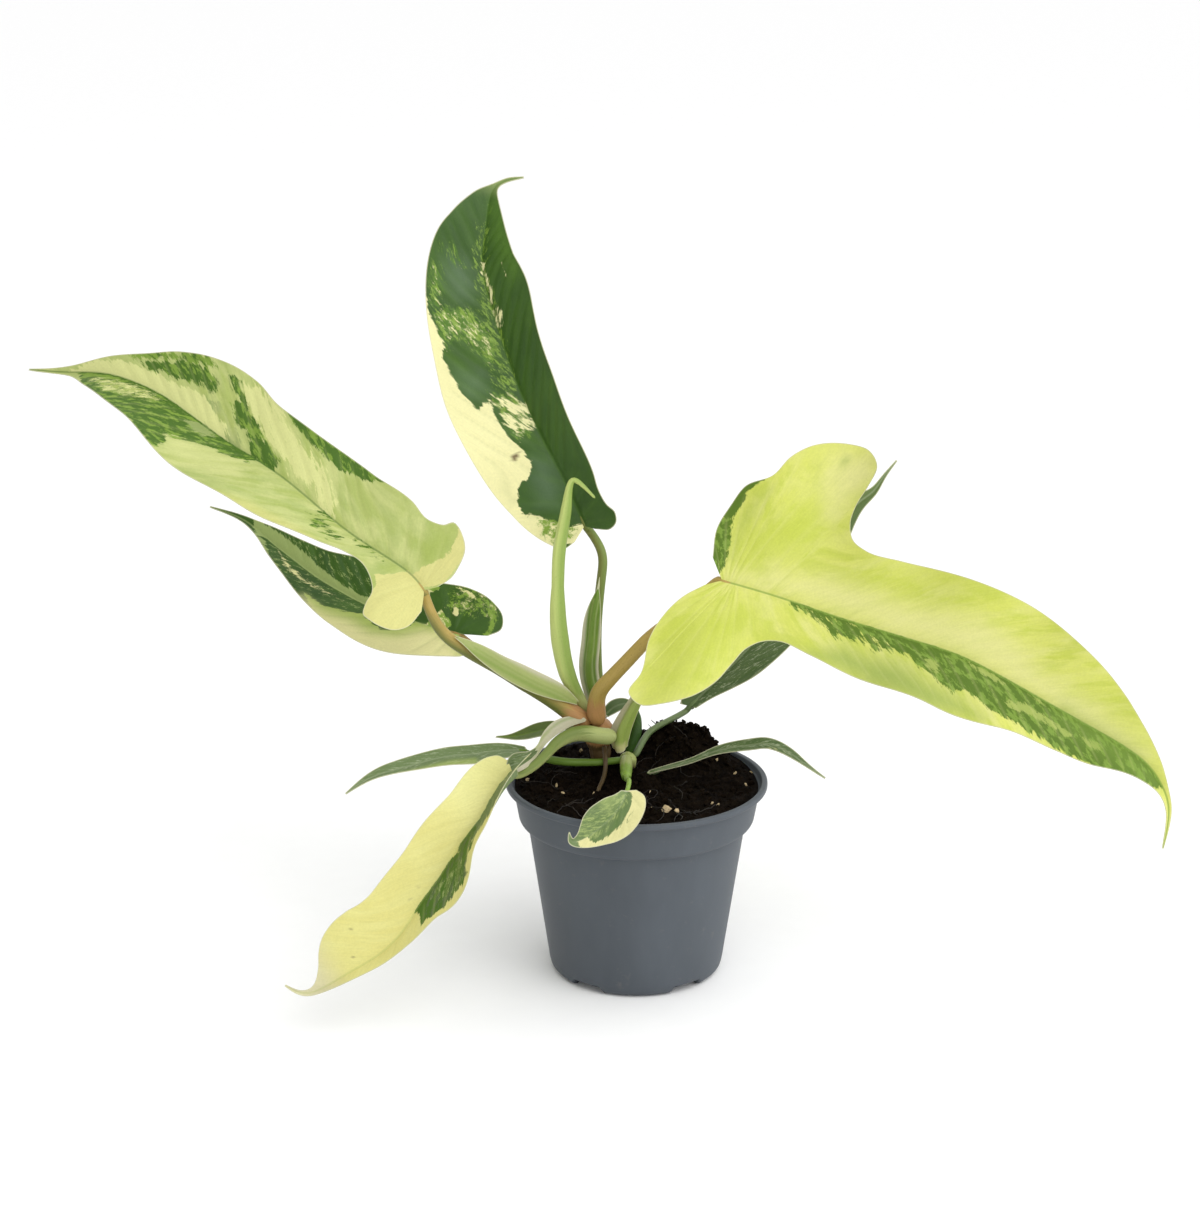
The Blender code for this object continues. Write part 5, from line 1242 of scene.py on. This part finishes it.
def pot_finish(name, rgb):
    """Matt plastic: clouds of tone and gloss drawn out upwards, fine grain, light dust."""
    f = Finish(name, specular=0.22)
    cloud = f.noise(f.place((1.0, 1.0, 0.35)), 34.0, 4.0)
    fine = f.noise(f.place(), 2600.0, 2.0)
    dust = f.noise(f.place(), 210.0, 5.0, 0.7)
    colour = f.mix(f.ramp(cloud, 0.35, 0.65), shade(rgb, 0.9), shade(rgb, 1.12))
    colour = f.mix(f.ramp(dust, 0.6, 0.78, 0.0, 0.16), colour, DUST)
    f.colour(colour)
    f.rough(f.ramp(cloud, 0.3, 0.7, 0.42, 0.56))
    f.bump(fine, 0.0001, 0.25)
    return f.material


def soil_finish(name, rgb, light):
    """Moist peat: near black, with brown spots of two sizes and a fine relief."""
    f = Finish(name, specular=0.03)
    big = f.noise(f.place(), 240.0, 5.0, 0.7)
    small = f.noise(f.place(shift=(3.0, 1.0, 2.0)), 1500.0, 3.0, 0.7)
    colour = f.mix(f.ramp(big, 0.4, 0.7), shade(rgb, 0.6), light)
    colour = f.mix(f.ramp(small, 0.55, 0.75, 0.0, 0.6), colour, shade(light, 2.2))
    f.colour(colour)
    f.rough(f.ramp(small, 0.3, 0.7, 0.6, 0.95))
    f.bump(small, 0.0006, 0.8)
    return f.material


def hue(label, text, rgb):
    """A colour setting."""
    return FloatVectorProperty(name=label, description=text, default=rgb, size=3,
                               subtype="COLOR", min=0.0, max=1.0)


def length(label, text, metres, low, high):
    """A size setting in metres."""
    return FloatProperty(name=label, description=text, default=metres, min=low, max=high,
                         subtype="DISTANCE", unit="LENGTH")


class PotSettings(bpy.types.PropertyGroup):
    """Sizes and colour of the nursery pot."""
    height: length("Height", "Height of the pot over its foot", POT_HIGH.z, 0.05, 0.2)
    rim: length("Rim radius", "Radius of the pot's lip", POT_HIGH.x, 0.03, 0.12)
    notches: IntProperty(name="Notches", description="Drain notches round the foot",
                         default=5, min=1, max=12)
    plastic: hue("Plastic", "Colour of the pot's matt plastic", (0.074, 0.085, 0.098))


class SoilSettings(bpy.types.PropertyGroup):
    """Potting mix on top of the pot."""
    peat: hue("Peat", "Darkest colour of the moist mix", (0.0030, 0.0018, 0.0010))
    bark: hue("Bark", "Brown of the drier crumbs", (0.011, 0.007, 0.004))
    grit: hue("Grit", "Colour of the pale grit", (0.62, 0.47, 0.26))
    crumbs: IntProperty(name="Crumbs", description="Loose crumbs on the soil", default=900,
                        min=0, max=3000)
    fibres: IntProperty(name="Fibres", description="Fine fibres on the soil", default=45,
                        min=0, max=600)


class LeafSettings(bpy.types.PropertyGroup):
    """Tissue and colours of leaves, stalks and sheaths."""
    thick: length("Thickness", "Thickness of the blades", 0.0005, 0.0002, 0.0015)
    vein_gap: length("Vein spacing", "Distance between side veins", 0.0085, 0.003, 0.02)
    vein_depth: length("Vein depth", "Depth of the grooves over them", 0.00022, 0.0, 0.001)
    deep: hue("Deep green", "Darkest leaf green", (0.030, 0.080, 0.009))
    green: hue("Green", "Green of the bands and streaks", (0.070, 0.155, 0.014))
    band: hue("Band green", "Green band of the right leaf", (0.105, 0.190, 0.014))
    fern: hue("Fern", "Lighter green between dark and pale", (0.215, 0.340, 0.045))
    grass: hue("Grass green", "Green of the tall sheath", (0.120, 0.210, 0.025))
    shoot: hue("Shoot green", "Green of the side shoot", (0.400, 0.520, 0.110))
    bright: hue("Bright green", "Fresh green near the top leaf's tip", (0.080, 0.175, 0.016))
    # Painted sheen: a grey green that stands in for gloss reflections on the dark top leaf
    bloom: hue("Bloom", "Waxy bloom on dark leaves", (0.200, 0.290, 0.190))
    butter: hue("Butter", "Cream margin of the top leaf", (0.820, 0.780, 0.400))
    cream: hue("Cream", "Cream of the left leaf", (0.700, 0.715, 0.300))
    wheat: hue("Wheat", "Pale yellow lobes of the left leaf", (0.680, 0.650, 0.250))
    ivory: hue("Ivory", "Dull cream of shaded leaves", (0.735, 0.695, 0.330))
    pale: hue("Pale yellow", "Palest parts of the right leaf", (0.800, 0.780, 0.330))
    straw: hue("Straw", "Pale yellow", (0.735, 0.685, 0.240))
    chartreuse: hue("Chartreuse", "Yellow-green of the right leaf", (0.690, 0.725, 0.145))
    lime: hue("Lime", "Lime green of its lobes", (0.570, 0.640, 0.085))
    willow: hue("Willow", "Pale sage of the left leaf", (0.440, 0.515, 0.165))
    sage: hue("Sage", "Soft grey green", (0.310, 0.385, 0.130))
    slate: hue("Slate green", "Grey green of the shaded leaves", (0.100, 0.150, 0.052))
    grey: hue("Grey green", "Grey green of the low leaves", (0.150, 0.212, 0.082))
    silver: hue("Silver", "Pale grey flecks", (0.360, 0.410, 0.250))
    moss: hue("Moss", "Shaded yellow green", (0.380, 0.465, 0.105))
    olive: hue("Olive", "Olive of leaf ends", (0.150, 0.205, 0.040))
    leaf: hue("Leaf green", "Darker side of the rolled leaf", (0.230, 0.330, 0.065))
    spring: hue("Spring green", "Lighter side of the rolled leaf", (0.480, 0.560, 0.170))
    leek: hue("Leek", "Pale green of sheaths and clasping bases", (0.400, 0.450, 0.160))
    rose: hue("Rose", "Pinkish white of sheath edges", (0.640, 0.600, 0.450))
    stalk: hue("Stalk green", "Olive green of stalks", (0.150, 0.165, 0.035))
    russet: hue("Russet", "Orange brown of stalks", (0.300, 0.190, 0.050))
    tan: hue("Tan", "Warm tan of the right stalk", (0.400, 0.285, 0.072))
    peach: hue("Peach", "Peach of the crown", (0.430, 0.225, 0.085))
    # Also used on the main stem below the crown, where it is painted shade
    root: hue("Root", "Dull brown root", (0.080, 0.050, 0.018))
    brown: hue("Blemish", "Dry brown spots", (0.120, 0.070, 0.030))
    rim: hue("Edge", "Thin pale leaf edge", (0.640, 0.620, 0.420))
    under: hue("Underside", "Pale matt underside", (0.380, 0.460, 0.230))


class StudioSettings(bpy.types.PropertyGroup):
    """Floor, light and camera."""
    floor: length("Floor", "Half width of the floor", 30.0, 1.0, 60.0)
    sky: FloatProperty(name="Room light", description="Brightness of the white room",
                       default=1.03, min=0.0, max=5.0)
    key: FloatProperty(name="Key light", description="Power of the soft key light",
                       default=9.0, min=0.0, max=500.0, subtype="POWER", unit="POWER")
    fill: FloatProperty(name="Fill light", description="Power of the soft fill light",
                        default=5.0, min=0.0, max=500.0, subtype="POWER", unit="POWER")
    lens: FloatProperty(name="Lens", description="Focal length on a 36 mm frame",
                        default=76.57, min=20.0, max=300.0, subtype="DISTANCE_CAMERA",
                        unit="CAMERA")


def leaf_hues(scene):
    """All leaf colours by name."""
    settings = scene.philodendron_leaf
    return {k: tuple(getattr(settings, k)) for k in LeafSettings.__annotations__
            if k not in ("thick", "vein_gap", "vein_depth")}


class PHILODENDRON_OT_pot(bpy.types.Operator):
    """Turn the nursery pot, with its stepped rim and the drain notches round its foot"""
    bl_idname = "philodendron.pot"
    bl_label = "Nursery Pot"

    def execute(self, context):
        """Profile turned round Z. Inside a notch the foot is lifted to the notch's
        height: z = max(z, h), blended over 2 mm at the notch's sides."""
        settings = context.scene.philodendron_pot
        tall, rim = settings.height / MM, settings.rim / MM
        notch_half, first_notch = 7.6, math.radians(18.0)
        lift_outside, lift_inside = 4.2, 5.3
        outside = [(33.0, 0.0), (36.0, 0.0), (38.0, 0.7), (39.6, 2.4), (40.3, 5.0), (50.0, 71.4),
                   (50.5, 72.1), (53.3, 73.2), (54.1, 74.6), (56.5, 88.0), (rim, 89.6),
                   (rim, tall - 0.5), (rim - 0.6, tall)]
        inner = [(rim - 2.6, tall), (56.9, 89.6), (55.5, 88.0), (53.1, 75.2), (52.5, 74.4),
                 (49.5, 73.3), (49.0, 72.2), (39.2, 5.2), (36.0, 2.6), (30.0, 2.6)]
        profile = rounded([(20.0, 0.0), (32.5, 0.0)] + outside + inner, 0.6)
        long = np.r_[0.0, np.cumsum(np.linalg.norm(np.diff(profile, axis=0), axis=1))]
        at = np.union1d(np.linspace(0.0, long[-1], 130), long)
        profile = along(profile, long, at)
        sides = 384
        turn = 2.0 * np.pi * np.arange(sides) / sides
        r, z = profile[:, :1], profile[:, 1:]
        gap = 2.0 * math.pi / settings.notches
        off = np.abs((turn + 0.5 * gap - first_notch) % gap - 0.5 * gap)
        notch = smooth(notch_half - off[None, :] * r, -1.0, 1.0) * smooth(r, 32.8, 33.1)
        lift = np.where(at < 0.45 * long[-1], lift_outside, lift_inside)[:, None]
        z = z + notch * np.maximum(lift - z, 0.0)
        grid = np.stack([r * np.cos(turn), r * np.sin(turn), z], -1)
        points, faces, uv = skin(grid, profile[:, 0], at)
        finish = pot_finish("pot_plastic", tuple(settings.plastic))
        make_piece("pot_form", "pot", points, faces, finish, uv, sharp=35.0)
        return {"FINISHED"}


class PHILODENDRON_OT_soil(bpy.types.Operator):
    """Fill the pot with potting mix and scatter crumbs, fibres and pale grit on it"""
    bl_idname = "philodendron.soil"
    bl_label = "Soil"

    def execute(self, context):
        """Body: side profile and top rings on one polar grid, with the top's outer rings up
        to 2% wider at the back. Loose bits: one pebble for all crumbs, roughened, stretched,
        turned and shifted as whole arrays."""
        settings = context.scene.philodendron_soil
        peat, bark = tuple(settings.peat), tuple(settings.bark)
        side = [(20.0, 2.9), (32.3, 2.9), (32.9, 5.6), (38.9, 6.6), (48.6, 72.5),
                (49.2, 73.7), (52.2, 74.8), (52.7, 75.6), (55.1, 86.6)]
        sides = 360
        turn = 2.0 * np.pi * np.arange(sides) / sides
        r = np.r_[[p[0] for p in side], np.linspace(55.8, 0.4, 117)]
        back = smooth(np.sin(turn), 0.0, 0.8)
        wide = r[:, None] * (1.0 + 0.02 * back * smooth(r, 50.0, 55.8)[:, None])
        wide[:len(side)] = r[:len(side), None]
        x, y = wide * np.cos(turn), wide * np.sin(turn)
        z = soil_height(x, y)
        z[:len(side)] = np.array([p[1] for p in side])[:, None]
        grid = np.stack([x, y, z], -1)
        points, faces, uv = skin(grid, r, np.linspace(0.0, 150.0, len(r)))
        finish = soil_finish("soil_peat", peat, bark)
        make_piece("soil_form", "soil", points, faces, finish, uv, sharp=180.0)
        rng = np.random.default_rng(11)
        count, reach = settings.crumbs, 53.5
        on_heap = rng.random(count) < 0.35
        spread, angle = reach * np.sqrt(rng.random(count)), 2.0 * np.pi * rng.random(count)
        x = np.where(on_heap, HEAP[0] + 16.0 * rng.normal(size=count), spread * np.cos(angle))
        y = np.where(on_heap, 40.0 + 12.0 * rng.normal(size=count), spread * np.sin(angle))
        keep = np.hypot(x, y) < reach
        size = 0.45 + 1.3 * rng.random(count) ** 2.5 + 0.5 * on_heap * rng.random(count)
        scatter("soil_crumbs", x[keep], y[keep], size[keep], rng,
                soil_finish("soil_bark", shade(peat, 1.6), shade(bark, 1.3)))
        gx, gy, gs = np.array(GRIT).T
        pale = Finish("soil_grit", roughness=0.8)
        tone = pale.noise(pale.place(), 1200.0, 4.0)
        pale.colour(pale.mix(pale.ramp(tone, 0.35, 0.7), shade(tuple(settings.grit), 0.55),
                             tuple(settings.grit)))
        pale.bump(tone, 0.0004, 0.7)
        scatter("soil_grit", gx, gy, gs, rng, pale.material)
        fibres(settings.fibres, rng, peat, bark)
        return {"FINISHED"}


def scatter(name, x, y, size, rng, finish):
    """Many rough pebbles in one mesh: an icosphere whose corners move in or out by up to a
    quarter, made narrower by random shares along two of three random directions."""
    bm = bmesh.new()
    bmesh.ops.create_icosphere(bm, subdivisions=1, radius=1.0)
    ball = np.array([v.co[:] for v in bm.verts])
    tris = np.array([[v.index for v in f.verts] for f in bm.faces])
    bm.free()
    count = len(x)
    turn, _ = np.linalg.qr(rng.normal(size=(count, 3, 3)))
    turn[np.linalg.det(turn) < 0.0, 0] *= -1.0
    stretch = np.stack([np.ones(count), 0.55 + 0.4 * rng.random(count),
                        0.4 + 0.4 * rng.random(count)], -1)
    rough = 1.0 + 0.5 * (rng.random((count, len(ball), 1)) - 0.5)
    bits = ball[None] * rough * stretch[:, None] * size[:, None, None]
    bits = np.einsum("nvk,nkm->nvm", bits, turn)
    centre = np.stack([x, y, soil_height(x, y) + 0.35 * size], -1)
    points = (bits + centre[:, None]).reshape(-1, 3)
    faces = (tris[None] + len(ball) * np.arange(count)[:, None, None]).reshape(-1, 3)
    make_piece(name, "soil", points, [faces], finish, sharp=40.0, replaces=False)


def fibres(count, rng, peat, bark):
    """Thin fibres in one mesh: five-sided tubes along short arcs that hug the soil. The
    first ones stand on its crest as curls."""
    knots, sides = 12, 5
    reach = 3.0 + 9.0 * rng.random(count)
    spread, angle = 47.0 * np.sqrt(rng.random(count)), 2.0 * np.pi * rng.random(count)
    head = 2.0 * np.pi * rng.random(count)
    bend = rng.normal(size=count) * 0.9
    s = np.linspace(-1.0, 1.0, knots)
    way = head[:, None] + bend[:, None] * s
    step = reach[:, None] * 2.0 / (knots - 1)
    x = spread[:, None] * np.cos(angle)[:, None] + np.cumsum(np.cos(way) * step, 1)
    y = spread[:, None] * np.sin(angle)[:, None] + np.cumsum(np.sin(way) * step, 1)
    shrink = np.minimum(1.0, 53.0 / np.hypot(x, y))
    x, y = x * shrink, y * shrink
    lift = 0.4 + 1.4 * rng.random(count)[:, None] * (1.0 - s ** 2)
    line = np.stack([x, y, soil_height(x, y) + lift], -1)
    root = np.array(CURLS)
    wind = 2.4 * s + np.arange(len(root))[:, None]
    curl = np.stack([root[:, :1] + 1.1 * np.sin(wind), root[:, 1:] + 0.6 * np.cos(wind),
                     soil_height(*root.T)[:, None] + 2.0 + 2.2 * s], -1)
    line[:len(root)] = curl
    ahead = unit(np.gradient(line, axis=1))
    side = unit(np.cross(ahead, (0.0, 0.0, 1.0)))
    up = np.cross(side, ahead)
    turn = 2.0 * np.pi * np.arange(sides) / sides
    taper = np.sqrt(1.02 - s ** 4)[None, :, None, None]
    girth = (0.10 + 0.16 * rng.random(count))[:, None, None, None] * taper
    ring = np.cos(turn)[:, None] * side[:, :, None] + np.sin(turn)[:, None] * up[:, :, None]
    points = line[:, :, None] + girth * ring
    k = np.arange(knots * sides).reshape(knots, sides)
    n = np.roll(k, -1, axis=1)
    quads = np.stack([k[:-1], k[1:], n[1:], n[:-1]], -1).reshape(-1, 4)
    caps = np.vstack([k[0], k[-1][::-1]])
    first = knots * sides * np.arange(count)[:, None, None]
    faces = [(quads[None] + first).reshape(-1, 4), (caps[None] + first).reshape(-1, 5)]
    f = Finish("soil_fibre", roughness=0.8)
    tone = f.noise(f.place(), 90.0, 2.0)
    f.colour(f.mix(f.ramp(tone, 0.4, 0.65), shade(peat, 1.5), shade(bark, 1.7)))
    make_piece("soil_fibres", "soil", points.reshape(-1, 3), faces, f.material, replaces=False)


class PHILODENDRON_OT_leaves(bpy.types.Operator):
    """Lay the leaf blades and sheaths along their midribs and paint their patches"""
    bl_idname = "philodendron.leaves"
    bl_label = "Leaves and Sheaths"

    def execute(self, context):
        """Blades under 70 mm get shorter steps and closer veins, and sheaths are thinner."""
        settings = context.scene.philodendron_leaf
        hues = leaf_hues(context.scene)
        for name, row in BLADES.items():
            leaf = Leaf(**LEAVES[name])
            small = leaf.length < 70.0
            papery = "sheath" in name
            thick = settings.thick / MM * (0.7 if papery else 1.0)
            points, faces, uv, values, a, b = blade_arrays(
                leaf, thick, settings.vein_gap / MM * (0.5 if small else 1.0),
                settings.vein_depth / MM * row[5],
                step=0.6 if small else (1.0 if leaf.length < 120.0 else 1.3),
                columns=13 if small else 24, lean=row[4])
            coats = coat_values(a, b, coat_rows(name, leaf))
            for k, (_, _, density) in enumerate(coats):
                values["coat_%d" % k] = np.tile(density, 2)
            finish = leaf_finish(name + "_tissue", hues, row, [c[:2] for c in coats])
            make_piece(name + "_form", name, points, faces, finish, uv, values)
        return {"FINISHED"}


class PHILODENDRON_OT_stalks(bpy.types.Operator):
    """Draw the stems, stalks, bud, rolled new leaf and root as round tubes"""
    bl_idname = "philodendron.stalks"
    bl_label = "Stems and Stalks"

    def execute(self, context):
        """Each stalk follows its path. Most start inside a stem, and each one that carries
        a blade ends inside the blade's rib."""
        hues = leaf_hues(context.scene)
        for name, (low, high, facing, foot) in TUBES.items():
            path, radii = STALKS[name]
            path, radii = [np.array(p, float) for p in path], list(radii)
            if name not in AS_DRAWN:
                path.insert(0, path[0] + SUNK_IN_STEM * unit(path[0] - path[1]))
            blade = LEAVES.get(name.removesuffix("_stalk"))
            if blade:
                r = radii[-1][1]
                leaf = Leaf(**blade)
                p, t, n, _ = leaf.line(np.array([-2.0, -0.5, 6.0]))
                deep = np.array([r + 1.4, r + 0.45, r * 0.9])[:, None]
                path += list(p - n * deep)
                radii[-1] = (0.95, r)
                radii.append((1.0, 0.7 * r))
            shape = {"new_leaf_spear": rolled, "main_stem": ringed,
                     "aerial_root": knobbly}.get(name)
            points, faces, uv, values = tube_arrays(path, radii, sides=48 if shape else 28,
                                                    step=0.7 if shape else 1.1, shape=shape)
            # Painted shade: below the crown the main stem takes the dark root brown, standing in
            # for the shadow under the crown
            if name == "main_stem":
                height = points[:, 2]
                values["foot"] = 1.0 - smooth(height, 100.0, 106.0)
            finish = stalk_finish(name + "_skin", hues[low], hues[high], facing, hues[foot],
                                  0.3 if low in ("tan", "root") else 0.0)
            make_piece(name + "_form", name, points, faces, finish, uv, values)
        return {"FINISHED"}


def rolled(turn, share):
    """Rolled leaf: the radius grows by an eighth round the ring and drops back at the seam,
    which winds a third of a turn along the length."""
    k = (turn / (2.0 * np.pi) + 0.3 + 0.33 * share) % 1.0
    return 0.96 + 0.12 * k * smooth(1.0 - k, 0.0, 0.05) + 0.01 * np.sin(9.0 * turn)


def ringed(turn, share):
    """Stem: shallow scar rings across it and low folds along it."""
    return (1.0 + 0.05 * np.sin(5.0 * turn + 6.0 * share) + 0.02 * np.sin(11.0 * turn)
            - 0.06 * np.exp(-((share % 0.25 - 0.12) / 0.02) ** 2))


def knobbly(turn, share):
    """Root: uneven knobs all over."""
    return 1.0 + 0.10 * np.sin(31.0 * share + turn) * np.sin(47.0 * share - 2.0 * turn)


class PHILODENDRON_OT_studio(bpy.types.Operator):
    """Set up the pale floor, the soft light and the camera"""
    bl_idname = "philodendron.studio"
    bl_label = "Studio"

    def execute(self, context):
        """The room is brighter on one side, and both lamps aim at the plant."""
        settings = context.scene.philodendron_studio
        half = settings.floor
        mesh = bpy.data.meshes.new("floor")
        mesh.from_pydata([(-half, -half, 0), (half, -half, 0), (half, half, 0), (-half, half, 0)],
                         [], [(0, 1, 2, 3)])
        f = Finish("floor_paper", roughness=0.9, specular=0.1)
        tone = f.noise(f.place(), 60.0, 2.0)
        f.colour(f.mix(f.ramp(tone, 0.3, 0.7), (0.955, 0.955, 0.955), (0.97, 0.97, 0.97)))
        mesh.materials.append(f.material)
        floor = bpy.data.objects.new("floor", mesh)
        context.scene.collection.objects.link(floor)
        world = bpy.data.worlds.new("white_room")
        world.use_nodes = True
        world.node_tree.nodes["Background"].inputs["Color"].default_value = (1.0, 1.0, 1.0, 1.0)
        tree = world.node_tree
        side = tree.nodes.new("ShaderNodeSeparateXYZ")
        bright = tree.nodes.new("ShaderNodeMapRange")
        tree.links.new(tree.nodes.new("ShaderNodeTexCoord").outputs["Generated"], side.inputs[0])
        tree.links.new(side.outputs["X"], bright.inputs["Value"])
        for key, value in (("From Min", -1.0), ("From Max", 1.0), ("To Min", 0.62 * settings.sky),
                           ("To Max", 1.38 * settings.sky)):
            bright.inputs[key].default_value = value
        tree.links.new(bright.outputs[0], tree.nodes["Background"].inputs["Strength"])
        context.scene.world = world
        context.scene.view_settings.view_transform = "Standard"
        for name, power, size, spot in (("key", settings.key, 1.2, (0.5, -1.1, 1.6)),
                                        ("fill", settings.fill, 1.2, (1.2, -0.8, 0.9))):
            light = bpy.data.lights.new(name, "AREA")
            light.energy, light.size = power, size
            lamp = bpy.data.objects.new(name, light)
            context.scene.collection.objects.link(lamp)
            aim = unit(np.array(spot) - np.array((0.0, 0.0, 0.15)))
            lamp.location = spot
            lamp.rotation_euler = (math.acos(aim[2]), 0.0, math.atan2(aim[0], -aim[1]))
        lens = bpy.data.cameras.new("camera")
        lens.lens, lens.sensor_width, lens.sensor_fit = settings.lens, 36.0, "AUTO"
        camera = bpy.data.objects.new("camera", lens)
        camera.location = CAMERA
        camera.rotation_euler = (math.radians(90.0 - TILT), 0.0, 0.0)
        context.scene.collection.objects.link(camera)
        context.scene.camera = camera
        return {"FINISHED"}


class PHILODENDRON_PT_panel(bpy.types.Panel):
    """Lists the pieces in the 3D view's sidebar."""
    bl_label = "Philodendron"
    bl_idname = "PHILODENDRON_PT_panel"
    bl_space_type = "VIEW_3D"
    bl_region_type = "UI"
    bl_category = "Philodendron"

    def draw(self, context):
        """A box for each group of pieces, with its button and its settings."""
        for key, group, operator in PARTS:
            part_box = self.layout.box()
            part_box.operator(operator.bl_idname)
            for name in group.__annotations__:
                part_box.prop(getattr(context.scene, key), name)


PARTS = (
    ("philodendron_pot", PotSettings, PHILODENDRON_OT_pot),
    ("philodendron_soil", SoilSettings, PHILODENDRON_OT_soil),
    ("philodendron_leaf", LeafSettings, PHILODENDRON_OT_leaves),
    ("philodendron_leaf", LeafSettings, PHILODENDRON_OT_stalks),
    ("philodendron_studio", StudioSettings, PHILODENDRON_OT_studio),
)
GROUPS = (PotSettings, SoilSettings, LeafSettings, StudioSettings)
CLASSES = (*GROUPS, *(part[2] for part in PARTS), PHILODENDRON_PT_panel)


def register():
    """Register the classes and hang each group of settings on the scene."""
    for item in CLASSES:
        bpy.utils.register_class(item)
    for key, group, _ in PARTS:
        setattr(bpy.types.Scene, key, PointerProperty(type=group))


def unregister():
    """Take them off again."""
    for key in {part[0] for part in PARTS}:
        delattr(bpy.types.Scene, key)
    for item in reversed(CLASSES):
        bpy.utils.unregister_class(item)


def main():
    """Build every piece."""
    register()
    bpy.ops.philodendron.pot()
    bpy.ops.philodendron.soil()
    bpy.ops.philodendron.leaves()
    bpy.ops.philodendron.stalks()
    bpy.ops.philodendron.studio()


if __name__ == "__main__":
    main()
